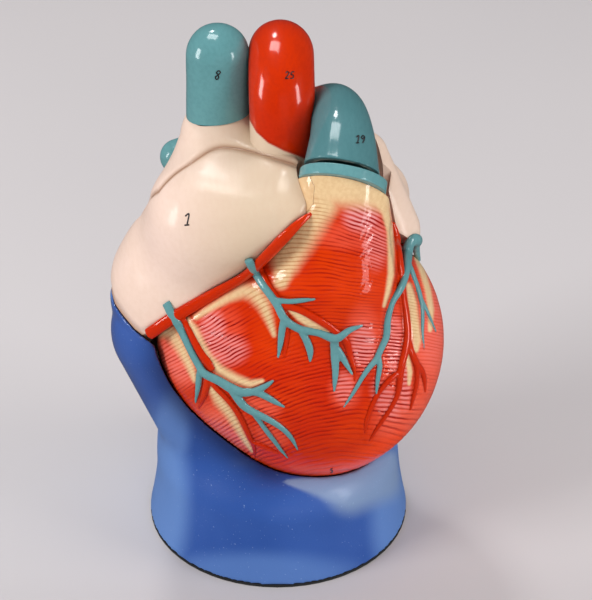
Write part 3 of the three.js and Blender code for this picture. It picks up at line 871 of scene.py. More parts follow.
@dataclass(frozen=True)
class Patch:
    """A soft oval of colour: its middle, half sizes, turn in degrees and strength."""

    x: float
    y: float
    across: float
    down: float
    turn: float = 0.0
    strength: float = 1.0

    def mask(self, pixels: np.ndarray) -> np.ndarray:
        """How much of the patch's colour each pixel has."""
        cos, sin = math.cos(math.radians(self.turn)), math.sin(math.radians(self.turn))
        dx, dy = pixels[:, 0] - self.x, pixels[:, 1] - self.y
        away = np.hypot((dx * cos - dy * sin) / self.across, (dx * sin + dy * cos) / self.down)
        return self.strength * (1.0 - smooth_step(0.55, 1.3, away))


@dataclass(frozen=True)
class Vessel:
    """A vessel that lies on the heart, read from the photograph.

    Args:
        points: rows of x, y and width.
        lift: how far its middle stands out, as a share of its radius.
    """

    points: tuple[Point, ...]
    lift: float = 0.15

    def band(self, extra: float = 0.0, soft: float = 0.45) -> Strip:
        """The band that it covers, made wider by some pixels."""
        return Strip(tuple((x, y, width + extra) for x, y, width in self.points), soft)


def bands(*rows: tuple[float | Point, ...]) -> tuple[Strip, ...]:
    """Bands from rows of their softness and their points."""
    return tuple(Strip(row[1:], row[0]) for row in rows)


def ovals(*rows: tuple[float, ...]) -> tuple[Patch, ...]:
    """Soft ovals from rows of their values."""
    return tuple(Patch(*row) for row in rows)


def courses(*rows: tuple[Point, ...]) -> tuple[Vessel, ...]:
    """Vessels from rows of their points."""
    return tuple(Vessel(row) for row in rows)


def most(marks: Iterable[Strip | Patch], pixels: np.ndarray) -> np.ndarray:
    """The strongest of several painted marks at each pixel."""
    found = np.zeros(len(pixels))
    for mark in marks:
        found = np.maximum(found, mark.mask(pixels))
    return found


def wobble(pixels: np.ndarray, size: float, seed: float) -> np.ndarray:
    """Smooth uneven waves over the picture.

    Args:
        pixels: one row for each pixel.
        size: the rough spacing of the waves.
        seed: which pattern.

    Returns:
        A value from -1 to 1 for each pixel.
    """
    x, y = pixels[:, 0] * (2.0 * np.pi / size), pixels[:, 1] * (2.0 * np.pi / size)
    first = np.sin(x + 1.6 * np.sin(0.63 * y + seed) + seed)
    first = first * np.cos(0.87 * y + 1.4 * np.sin(0.71 * x + 2.0 * seed))
    second = np.sin(0.53 * x - 1.21 * y + 1.2 * np.sin(0.9 * x + seed + 1.0))
    return 0.55 * first + 0.45 * second


@dataclass(frozen=True)
class FibreField:
    """Moulded muscle fibres: evenly spaced grooves whose direction changes over a picture.

    Args:
        strokes: rows of x, y and the angle in degrees by which the grooves rise to the right there.
        spacing: pixels from groove to groove.
        reach: pixels over which a stroke sets the direction.
        middle: the column in which the grooves are evenly spaced.
        left: where the sampled part of the picture starts, and likewise right, top and bottom.
        step: pixels from sample to sample.
    """

    strokes: tuple[Point, ...]
    spacing: float = 4.3
    reach: float = 24.0
    middle: float = 290.0
    left: float = 60.0
    right: float = 500.0
    top: float = 120.0
    bottom: float = 540.0
    step: float = 4.0

    def phases(self, pixels: np.ndarray) -> np.ndarray:
        """Counts the grooves.

        Args:
            pixels: one row for each pixel.

        Returns:
            How many grooves lie above each pixel.
        """
        xs = np.arange(self.left, self.right + 1.0, self.step)
        ys = np.arange(self.top, self.bottom + 1.0, self.step)
        grid_x, grid_y = np.meshgrid(xs, ys)
        total, weights = np.zeros_like(grid_x), np.full_like(grid_x, 1e-6)
        for x, y, rise in self.strokes:
            weight = np.exp(-((grid_x - x) ** 2 + (grid_y - y) ** 2) / (2.0 * self.reach**2)) + 1e-5
            total += weight * -math.tan(math.radians(rise))
            weights += weight
        slope = total / weights
        height = np.cumsum(slope, axis=1) * self.step
        height -= height[:, [int((self.middle - self.left) / self.step)]]
        column = np.clip((pixels[:, 0] - self.left) / self.step, 0.0, len(xs) - 1.001)
        row = np.clip((pixels[:, 1] - self.top) / self.step, 0.0, len(ys) - 1.001)
        i, j = column.astype(int), row.astype(int)
        u, v = column - i, row - j
        upper = height[j, i] * (1.0 - u) + height[j, i + 1] * u
        lower = height[j + 1, i] * (1.0 - u) + height[j + 1, i + 1] * u
        uneven = 0.30 * wobble(pixels, 64.0, 0.0) + 0.07 * wobble(pixels, 26.0, 4.0)
        return (pixels[:, 1] - (upper * (1.0 - v) + lower * v)) / self.spacing + uneven


# Node trees


class Graph:
    """Short calls that add nodes to one node tree."""

    def __init__(self, tree: bpy.types.NodeTree) -> None:
        """Starts on a tree."""
        self.tree = tree

    def fill(self, node: bpy.types.Node, values: Inputs) -> bpy.types.Node:
        """Sets or links a node's inputs.

        Args:
            node: the node.
            values: a value or another node's output for each input.

        Returns:
            The node.
        """
        for key, value in values.items():
            if isinstance(value, Socket):
                self.tree.links.new(value, node.inputs[key])
            else:
                node.inputs[key].default_value = value
        return node

    def add(self, kind: str, values: Inputs | None = None, **settings: object) -> bpy.types.Node:
        """Adds a node.

        Args:
            kind: its type.
            values: what its inputs are set or linked to.
            settings: its other properties.

        Returns:
            The node.
        """
        made = self.tree.nodes.new(kind)
        for name, value in settings.items():
            setattr(made, name, value)
        return self.fill(made, values or {})

    def node(self, kind: str, values: Inputs | None = None, **settings: object) -> bpy.types.Node:
        """Adds a shader node, its type given without the leading ShaderNode."""
        return self.add("ShaderNode" + kind, values, **settings)

    def math(self, operation: str, *values: object, clamp: bool = False) -> Socket:
        """A sum, product or other operation on numbers."""
        return self.node("Math", dict(enumerate(values)), operation=operation, use_clamp=clamp).outputs[0]

    def times(self, a: object, b: object) -> Socket:
        """The product of two numbers."""
        return self.math("MULTIPLY", a, b)

    def scaled(self, value: object, factor: float, more: object, clamp: bool = False) -> Socket:
        """A number times a factor, and something more."""
        return self.math("MULTIPLY_ADD", value, factor, more, clamp=clamp)

    def mix(self, share: object, a: object, b: object) -> Socket:
        """A mix of two colours."""
        return self.node("Mix", {0: share, 6: a, 7: b}, data_type="RGBA").outputs[2]

    def coats(self, base: object, *coats: tuple[object, object]) -> Socket:
        """A colour under coats, each given by its share and its colour."""
        for share, colour in coats:
            base = self.mix(share, base, colour)
        return base

    def ramp(self, value: object, low: float, high: float, start: float = 0.0, end: float = 1.0) -> Socket:
        """A soft rise from start to end while a value goes from low to high."""
        inputs = {"Value": value, "From Min": low, "From Max": high, "To Min": start, "To Max": end}
        return self.node("MapRange", inputs, interpolation_type="SMOOTHSTEP").outputs[0]

    def noise(self, place: object, scale: float, detail: float = 2.0, rough: float = 0.5) -> Socket:
        """Cloudy noise from 0 to 1."""
        inputs = {"Vector": place, "Scale": scale, "Detail": detail, "Roughness": rough}
        return self.node("TexNoise", inputs).outputs[0]

    def mark(self, name: str) -> Socket:
        """A painted value stored at the piece's corners."""
        return self.node("Attribute", attribute_name=name).outputs["Fac"]

    def place(self) -> Socket:
        """Object coordinates."""
        return self.node("TexCoord").outputs["Object"]

    def stretched(self, x: float, y: float, z: float) -> Socket:
        """Object coordinates with another scale along each axis."""
        return self.node("Mapping", {"Vector": self.place(), "Scale": (x, y, z)}).outputs[0]

    def bump(self, height: object, depth_mm: float, strength: float) -> Socket:
        """A normal from a height of 0 to 1 that stands for a depth in millimetres."""
        inputs = {"Height": height, "Distance": depth_mm * MM, "Strength": strength}
        return self.node("Bump", inputs).outputs[0]


def new_group(
    name: str, inputs: dict[str, float], outputs: Sequence[str]
) -> tuple[Graph, bpy.types.Node, bpy.types.Node]:
    """An empty shader node group of plain numbers.

    Args:
        name: its name.
        inputs: its input names with their first values.
        outputs: its output names.

    Returns:
        Its graph, and the nodes of its inputs and its outputs.
    """
    tree = bpy.data.node_groups.new(name, "ShaderNodeTree")
    for key, value in inputs.items():
        socket = tree.interface.new_socket(name=key, in_out="INPUT", socket_type="NodeSocketFloat")
        socket.default_value = value
    for key in outputs:
        tree.interface.new_socket(name=key, in_out="OUTPUT", socket_type="NodeSocketFloat")
    graph = Graph(tree)
    return graph, graph.add("NodeGroupInput"), graph.add("NodeGroupOutput")


class PaintEffects:
    """The node groups that the painted finishes share."""

    def __init__(self) -> None:
        """Builds each group once."""
        self.brushwork = self._brushwork()
        self.grooves = self._grooves()

    def _brushwork(self) -> bpy.types.NodeTree:
        """Uneven hand painting: a slow change of tone, and fine streaks along the brush.

        Returns:
            The group.
        """
        graph, start, end = new_group("hand brushwork", {"Size": 1.0}, ("Tone", "Streak"))
        sized = {0: graph.place(), "Scale": start.outputs["Size"]}
        place = graph.node("VectorMath", sized, operation="SCALE").outputs[0]
        drawn = {"Vector": place, "Rotation": (0.3, 0.2, 0.9), "Scale": (1.0, 0.22, 1.0)}
        streak = graph.noise(graph.node("Mapping", drawn).outputs[0], 420.0, 2.0, 0.6)
        tone = graph.ramp(graph.noise(place, 26.0), 0.3, 0.7)
        graph.fill(end, {"Tone": tone, "Streak": graph.ramp(streak, 0.35, 0.7)})
        return graph.tree

    def _grooves(self) -> bpy.types.NodeTree:
        """Moulded fibres from a count of grooves: how far each place is up a ridge or down a groove."""
        graph, start, end = new_group("fibre grooves", {"Count": 0.0, "Wander": 0.12}, ("Ridge", "Groove"))
        uneven = graph.math("SUBTRACT", graph.noise(graph.place(), 150.0), 0.5)
        count = graph.math("ADD", start.outputs["Count"], graph.times(uneven, start.outputs["Wander"]))
        wave = graph.scaled(graph.math("SINE", graph.times(count, 2.0 * math.pi)), 0.5, 0.5)
        graph.fill(end, {"Ridge": wave, "Groove": graph.ramp(wave, 0.42, 0.02)})
        return graph.tree


class Finish:
    """A painted or bare surface."""

    name = "finish"

    def __init__(self, effects: PaintEffects) -> None:
        """Takes the shared effects."""
        self.effects = effects
        self._made: bpy.types.Material | None = None

    def material(self) -> bpy.types.Material:
        """The finish's material, made once.

        Returns:
            The material.
        """
        if self._made is None:
            self._made = bpy.data.materials.new(self.name)
            self._made.use_nodes = True
            self._made.node_tree.nodes.clear()
            graph = Graph(self._made.node_tree)
            shader = graph.node("BsdfPrincipled", self.inputs(graph))
            graph.node("OutputMaterial", {0: shader.outputs[0]})
        return self._made

    def inputs(self, graph: Graph) -> Inputs:
        """What the shader's inputs are set or linked to."""
        raise NotImplementedError

    def brush(self, graph: Graph, size: float = 1.0) -> tuple[Socket, Socket]:
        """The tone and the streaks of the shared brushwork, at a size."""
        made = graph.node("Group", {"Size": size}, node_tree=self.effects.brushwork)
        return made.outputs["Tone"], made.outputs["Streak"]


class MusclePaint(Finish):
    """Glossy red over moulded fibres and cream fat, with pink painted highlights on the ridges, painted light
    along the lower rim and painted shade beside the vessels.
    """

    name = "painted muscle"
    red = (0.60, 0.021, 0.0, 1.0)
    bright = (0.72, 0.042, 0.0, 1.0)
    salmon = (0.88, 0.110, 0.055, 1.0)
    # Painted light: a brighter red along the lower rim, which the stand's cradle shades
    rim = (0.98, 0.065, 0.006, 1.0)
    # The pink of the painted highlights on the ridges
    pink = (0.86, 0.36, 0.36, 1.0)
    ember = (0.36, 0.004, 0.001, 1.0)
    fat = (0.80, 0.57, 0.31, 1.0)
    tan = (0.55, 0.27, 0.11, 1.0)
    shade = (0.10, 0.008, 0.006, 1.0)

    def inputs(self, graph: Graph) -> Inputs:
        """The painted marks over each other, and the fibres raised.

        Args:
            graph: the nodes of the material.

        Returns:
            What the shader's inputs are set or linked to.
        """
        tone, streak = self.brush(graph)
        count = {"Count": graph.mark("fibre_count")}
        grooves = graph.node("Group", count, node_tree=self.effects.grooves).outputs
        ridge, groove, depth = grooves["Ridge"], grooves["Groove"], graph.mark("fibre_depth")
        # Painted highlight: the pink mark lightens the ridges of the fibres, with a faint pink tint between
        # them
        lit = graph.times(graph.mark("pink"), graph.scaled(ridge, 0.75, 0.2))
        sunk = graph.times(graph.ramp(ridge, 0.62, 0.1), depth)
        dark = graph.scaled(graph.times(groove, depth), 0.42, graph.times(sunk, 0.6))
        lines = graph.times(graph.times(groove, 0.7), graph.mark("streaks"))
        fat = graph.mix(graph.scaled(streak, 0.22, lines, clamp=True), self.fat, self.tan)
        height = graph.times(graph.math("SUBTRACT", 1.0, groove), depth)
        return {
            "Base Color": graph.coats(
                graph.mix(tone, self.red, self.bright),
                (graph.mark("salmon"), self.salmon),
                # Painted light along the lower rim
                (graph.mark("rim"), self.rim),
                (lit, self.pink),
                (dark, self.ember),
                (graph.mark("fat"), fat),
                # Painted shade: the darkest red, beside the vessels
                (graph.mark("painted_shade"), self.shade),
            ),
            "Roughness": graph.scaled(streak, 0.10, 0.34),
            "Specular IOR Level": 0.05,
            "Coat Weight": 0.5,
            "Coat Roughness": 0.08,
            "Normal": graph.bump(graph.scaled(streak, 0.10, height), 0.32, 0.8),
        }


class ChamberPaint(Finish):
    """The smoother cream-pink paint inside the chambers."""

    name = "painted chamber"
    lining = (0.62, 0.20, 0.13, 1.0)
    pale = (0.72, 0.33, 0.22, 1.0)
    hollow = (0.36, 0.05, 0.03, 1.0)

    def inputs(self, graph: Graph) -> Inputs:
        """The lining with darker hollows between its cords.

        Args:
            graph: the nodes of the material.

        Returns:
            What the shader's inputs are set or linked to.
        """
        tone, streak = self.brush(graph, 0.8)
        rope = graph.noise(graph.stretched(1.0, 1.0, 0.35), 120.0, 3.0, 0.6)
        deep = (graph.ramp(rope, 0.55, 0.35), self.hollow)
        return {
            "Base Color": graph.coats(graph.mix(tone, self.lining, self.pale), deep),
            "Roughness": graph.scaled(streak, 0.12, 0.34),
            "Coat Weight": 0.2,
            "Coat Roughness": 0.2,
            "Normal": graph.bump(rope, 1.0, 0.6),
        }


class CutFacePaint(Finish):
    """The flat faces where the pieces meet: red muscle cut through."""

    name = "painted cut face"
    deep = (0.50, 0.035, 0.02, 1.0)
    light = (0.64, 0.10, 0.06, 1.0)
    sinew = (0.78, 0.42, 0.32, 1.0)

    def inputs(self, graph: Graph) -> Inputs:
        """Deep red with streaks that run across the wall.

        Args:
            graph: the nodes of the material.

        Returns:
            What the shader's inputs are set or linked to.
        """
        tone, streak = self.brush(graph, 1.3)
        strands = (graph.times(streak, 0.35), self.sinew)
        return {
            "Base Color": graph.coats(graph.mix(tone, self.deep, self.light), strands),
            "Roughness": graph.scaled(streak, 0.15, 0.38),
            "Normal": graph.bump(streak, 0.15, 0.5),
        }


class AtriumPaint(Finish):
    """Cream paint, pinker to the left and tan where the brush gathered; the pinker paint is also lighter, as
    painted light, to the left and on the left auricle.
    """

    name = "painted atrium"
    cream = (0.67, 0.53, 0.385, 1.0)
    tan = (0.65, 0.49, 0.33, 1.0)
    # Pink paint that is also lighter, as painted light
    rose_and_painted_light = (0.90, 0.68, 0.60, 1.0)
    warm = (0.69, 0.51, 0.37, 1.0)
    worn = (0.62, 0.40, 0.26, 1.0)
    shade = (0.34, 0.17, 0.09, 1.0)

    def inputs(self, graph: Graph) -> Inputs:
        """The cream tones with the painted shade along the seams.

        Args:
            graph: the nodes of the material.

        Returns:
            What the shader's inputs are set or linked to.
        """
        tone, streak = self.brush(graph, 0.9)
        height = graph.scaled(streak, 0.3, graph.noise(graph.place(), 90.0, 3.0))
        return {
            "Base Color": graph.coats(
                graph.mix(graph.mark("tan"), self.cream, self.tan),
                # Pinker paint with painted light, to the left and on the left auricle
                (graph.mark("rose_and_painted_light"), self.rose_and_painted_light),
                (graph.times(tone, 0.25), self.warm),
                (graph.times(streak, 0.10), self.worn),
                # Painted shade along the seams
                (graph.mark("painted_shade"), self.shade),
            ),
            "Roughness": graph.scaled(streak, 0.12, 0.36),
            "Specular IOR Level": 0.1,
            "Coat Weight": 0.22,
            "Coat Roughness": 0.2,
            "Normal": graph.bump(height, 0.2, 0.3),
        }


@dataclass(frozen=True)
class TubeColours:
    """The colours of one kind of painted vessel."""

    name: str
    plain: Colour
    light: Colour
    dark: Colour
    rough: float = 0.32
    cuff: Colour = (0.70, 0.545, 0.40, 1)


VEIN = TubeColours("painted vein", (0.118, 0.298, 0.312, 1), (0.150, 0.350, 0.366, 1), (0.03, 0.12, 0.14, 1))
# A darker copy of the vein's teal, as painted shade on the pulmonary trunk, which the lamps light more
TRUNK_IN_PAINTED_SHADE = TubeColours("painted trunk", (0.074, 0.2, 0.216, 1), (0.098, 0.24, 0.256, 1), (0.03, 0.11, 0.125, 1))
ARTERY = TubeColours("painted artery", (0.56, 0.021, 0, 1), (0.64, 0.036, 0, 1), (0.26, 0.005, 0, 1))
LEAFLET = TubeColours(
    "painted valve", (0.8, 0.7, 0.54, 1), (0.86, 0.78, 0.66, 1), (0.42, 0.26, 0.14, 1), 0.52
)


class TubePaint(Finish):
    """Glossy paint on vessels and valves, with brush marks."""

    def __init__(self, effects: PaintEffects, colours: TubeColours) -> None:
        """Takes the shared effects and the colours of one kind of vessel."""
        super().__init__(effects)
        self.name, self.colours = colours.name, colours

    def inputs(self, graph: Graph) -> Inputs:
        """Even colour with thin, lighter and darker places.

        Args:
            graph: the nodes of the material.

        Returns:
            What the shader's inputs are set or linked to.
        """
        c = self.colours
        tone, streak = self.brush(graph, 1.1)
        return {
            "Base Color": graph.coats(
                graph.mix(graph.times(tone, 0.4), c.plain, c.light),
                (graph.times(streak, 0.12), c.dark),
                # Painted shade, in the tube's dark colour
                (graph.mark("painted_shade"), c.dark),
                (graph.mark("cuff"), c.cuff),
            ),
            "Roughness": graph.scaled(streak, 0.12, c.rough),
            "Specular IOR Level": 0.05,
            "Coat Weight": 0.55,
            "Coat Roughness": 0.1,
            "Normal": graph.bump(graph.noise(graph.place(), 180.0), 0.2, 0.3),
        }


class StandPaint(Finish):
    """Blue gloss with pits and dust specks, with a painted sheen below the heart, painted light on its sides
    and painted shade under the heart's edge.
    """

    name = "painted stand"
    blue = (0.022, 0.078, 0.32, 1.0)
    light = (0.032, 0.098, 0.37, 1.0)
    # The blue of the painted light on the stand's sides
    pale = (0.115, 0.235, 0.54, 1.0)
    # The pale blue of the painted sheen
    painted_sheen = (0.19, 0.285, 0.47, 1.0)
    dust = (0.33, 0.45, 0.68, 1.0)
    # The dark blue of the painted shade under the heart's edge
    shade = (0.008, 0.012, 0.06, 1.0)

    def inputs(self, graph: Graph) -> Inputs:
        """The blue tones with their painted light and shade, and the fine pits.

        Args:
            graph: the nodes of the material.

        Returns:
            What the shader's inputs are set or linked to.
        """
        tone, _ = self.brush(graph, 0.7)
        grain = graph.noise(graph.place(), 900.0, 1.0)
        specks = graph.ramp(grain, 0.735, 0.775)
        height = graph.scaled(graph.ramp(grain, 0.34, 0.28), -1.0, graph.noise(graph.place(), 60.0, 3.0))
        return {
            "Base Color": graph.coats(
                graph.mix(tone, self.blue, self.light),
                # Painted light on the sides and foot, and paler paint over the back half
                (graph.mark("pale"), self.pale),
                # Painted sheen below the heart
                (graph.mark("painted_sheen"), self.painted_sheen),
                (graph.times(specks, 0.45), self.dust),
                # Painted shade under the heart's edge
                (graph.mark("painted_shade"), self.shade),
            ),
            "Roughness": graph.scaled(specks, 0.2, 0.42),
            "Specular IOR Level": 0.25,
            "Coat Weight": graph.mark("gloss"),
            "Coat Roughness": 0.12,
            "Normal": graph.bump(height, 0.3, 0.3),
        }


class SteelFinish(Finish):
    """Bare steel with turning marks."""

    name = "bare steel"
    dull = (0.48, 0.48, 0.50, 1.0)
    bright = (0.62, 0.62, 0.63, 1.0)

    def inputs(self, graph: Graph) -> Inputs:
        """Fine rings of roughness round the upright axis.

        Args:
            graph: the nodes of the material.

        Returns:
            What the shader's inputs are set or linked to.
        """
        rings = graph.noise(graph.stretched(30.0, 30.0, 900.0), 4.0)
        return {
            "Base Color": graph.mix(rings, self.dull, self.bright),
            "Metallic": 1.0,
            "Roughness": graph.scaled(rings, 0.2, 0.25),
            "Normal": graph.bump(rings, 0.05, 0.5),
        }


class BoardFinish(Finish):
    """Dull black board, with its fibres pressed flat."""

    name = "black board"
    dark = (0.02, 0.02, 0.02, 1.0)
    light = (0.06, 0.055, 0.05, 1.0)
    scale = 300.0

    def inputs(self, graph: Graph) -> Inputs:
        """Short fibres.

        Args:
            graph: the nodes of the material.

        Returns:
            What the shader's inputs are set or linked to.
        """
        nap = graph.noise(graph.place(), self.scale, 4.0, 0.7)
        return {
            "Base Color": graph.mix(nap, self.dark, self.light),
            "Roughness": graph.ramp(nap, 0.2, 0.8, 0.8, 0.95),
            "Normal": graph.bump(nap, 0.3, 0.7),
        }


class FeltFinish(BoardFinish):
    """Black felt with a short nap."""

    name = "black felt"
    dark = (0.006, 0.006, 0.006, 1.0)
    light = (0.03, 0.03, 0.03, 1.0)
    scale = 1400.0


class InkFinish(Finish):
    """Black ink of the hand-written part numbers."""

    name = "number ink"
    black = (0.012, 0.010, 0.012, 1.0)
    faint = (0.06, 0.045, 0.05, 1.0)

    def inputs(self, graph: Graph) -> Inputs:
        """Black that thins where the pen lifted.

        Args:
            graph: the nodes of the material.

        Returns:
            What the shader's inputs are set or linked to.
        """
        thin = graph.noise(graph.place(), 700.0)
        return {
            "Base Color": graph.mix(graph.ramp(thin, 0.55, 0.75), self.black, self.faint),
            "Roughness": graph.ramp(thin, 0.3, 0.7, 0.3, 0.45),
        }


class TableFinish(Finish):
    """The pale table, painted a little darker at its front as painted shade, and nearly black in reflections.
    """

    name = "pale table"
    pale = (0.585, 0.558, 0.564, 1.0)
    light = (0.63, 0.60, 0.60, 1.0)
    near = (0.50, 0.475, 0.48, 1.0)
    reflected = (0.10, 0.09, 0.09, 1.0)

    def inputs(self, graph: Graph) -> Inputs:
        """Cloudy tones, with painted shade towards the viewer.

        Args:
            graph: the nodes of the material.

        Returns:
            What the shader's inputs are set or linked to.
        """
        along = graph.node("SeparateXYZ", {0: graph.place()}).outputs["Y"]
        return {
            "Base Color": graph.coats(
                graph.mix(graph.noise(graph.place(), 2.0), self.pale, self.light),
                # Painted shade towards the front of the table
                (graph.ramp(along, 0.02, -0.14), self.near),
                (graph.node("LightPath").outputs["Is Glossy Ray"], self.reflected),
            ),
            "Roughness": 0.7,
        }


class Finishes:
    """Every finish of the model."""

    def __init__(self) -> None:
        """Makes each finish on the same shared effects."""
        effects = PaintEffects()
        self.muscle = MusclePaint(effects)
        self.chamber = ChamberPaint(effects)
        self.cut_face = CutFacePaint(effects)
        self.atrium = AtriumPaint(effects)
        self.vein = TubePaint(effects, VEIN)
        # The vein's teal, darker as painted shade
        self.trunk = TubePaint(effects, TRUNK_IN_PAINTED_SHADE)
        self.artery = TubePaint(effects, ARTERY)
        self.valve = TubePaint(effects, LEAFLET)
        self.stand = StandPaint(effects)
        self.steel = SteelFinish(effects)
        self.board = BoardFinish(effects)
        self.felt = FeltFinish(effects)
        self.ink = InkFinish(effects)
        self.table = TableFinish(effects)


# Finished pieces


@dataclass(frozen=True)
class Berth:
    """Where a finished piece belongs.

    Args:
        name: its name.
        body: the body that it moves with.
        slot: the name of a material slot, or an empty name; it is not used.
        nodes: the nodes of the part that it stands for.
    """

    name: str
    body: str
    slot: str
    nodes: tuple[str, ...] = ()


def finished(
    solid: Solid,
    berth: Berth,
    finishes: Sequence[Finish],
    kinds: np.ndarray | None = None,
    marks: dict[str, np.ndarray] | None = None,
    sharp_degrees: float = 38.0,
) -> bpy.types.Object:
    """Makes a piece of the model from a solid.

    Args:
        solid: its shape, in millimetres.
        berth: where it belongs.
        finishes: its finishes.
        kinds: which finish each face has.
        marks: painted values for each corner, by name.
        sharp_degrees: edges that turn more than this stay sharp.

    Returns:
        The object, in metres.
    """
    mesh = solid.mesh
    mesh.name = berth.name
    for name, values in (marks or {}).items():
        stored = mesh.attributes.new(name, "FLOAT", "POINT")
        stored.data.foreach_set("value", values.astype(np.float32))
    mesh.materials.clear()
    for finish in finishes:
        mesh.materials.append(finish.material())
    chosen = np.zeros(len(mesh.polygons), np.int32) if kinds is None else kinds.astype(np.int32)
    mesh.polygons.foreach_set("material_index", chosen)
    mesh.transform(Matrix.Scale(MM, 4))
    mesh.shade_smooth()
    mesh.set_sharp_from_angle(angle=math.radians(sharp_degrees))
    piece = linked(berth.name, mesh)
    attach(piece, berth.body)
    if berth.nodes:
        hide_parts(*berth.nodes)
    LOG.info("made %s with %d faces", berth.name, len(mesh.polygons))
    return piece


def turned_out(solid: Solid, form: Form) -> tuple[np.ndarray, np.ndarray]:
    """How each face of a solid lies to a form.

    Args:
        solid: the solid.
        form: the form.

    Returns:
        Each face's distance from the form, and how far it turns out of it, from 1 to -1.
    """
    middles, normals = solid.face_middles()
    return form(middles), np.einsum("ij,ij->i", outwards(form, middles), normals)


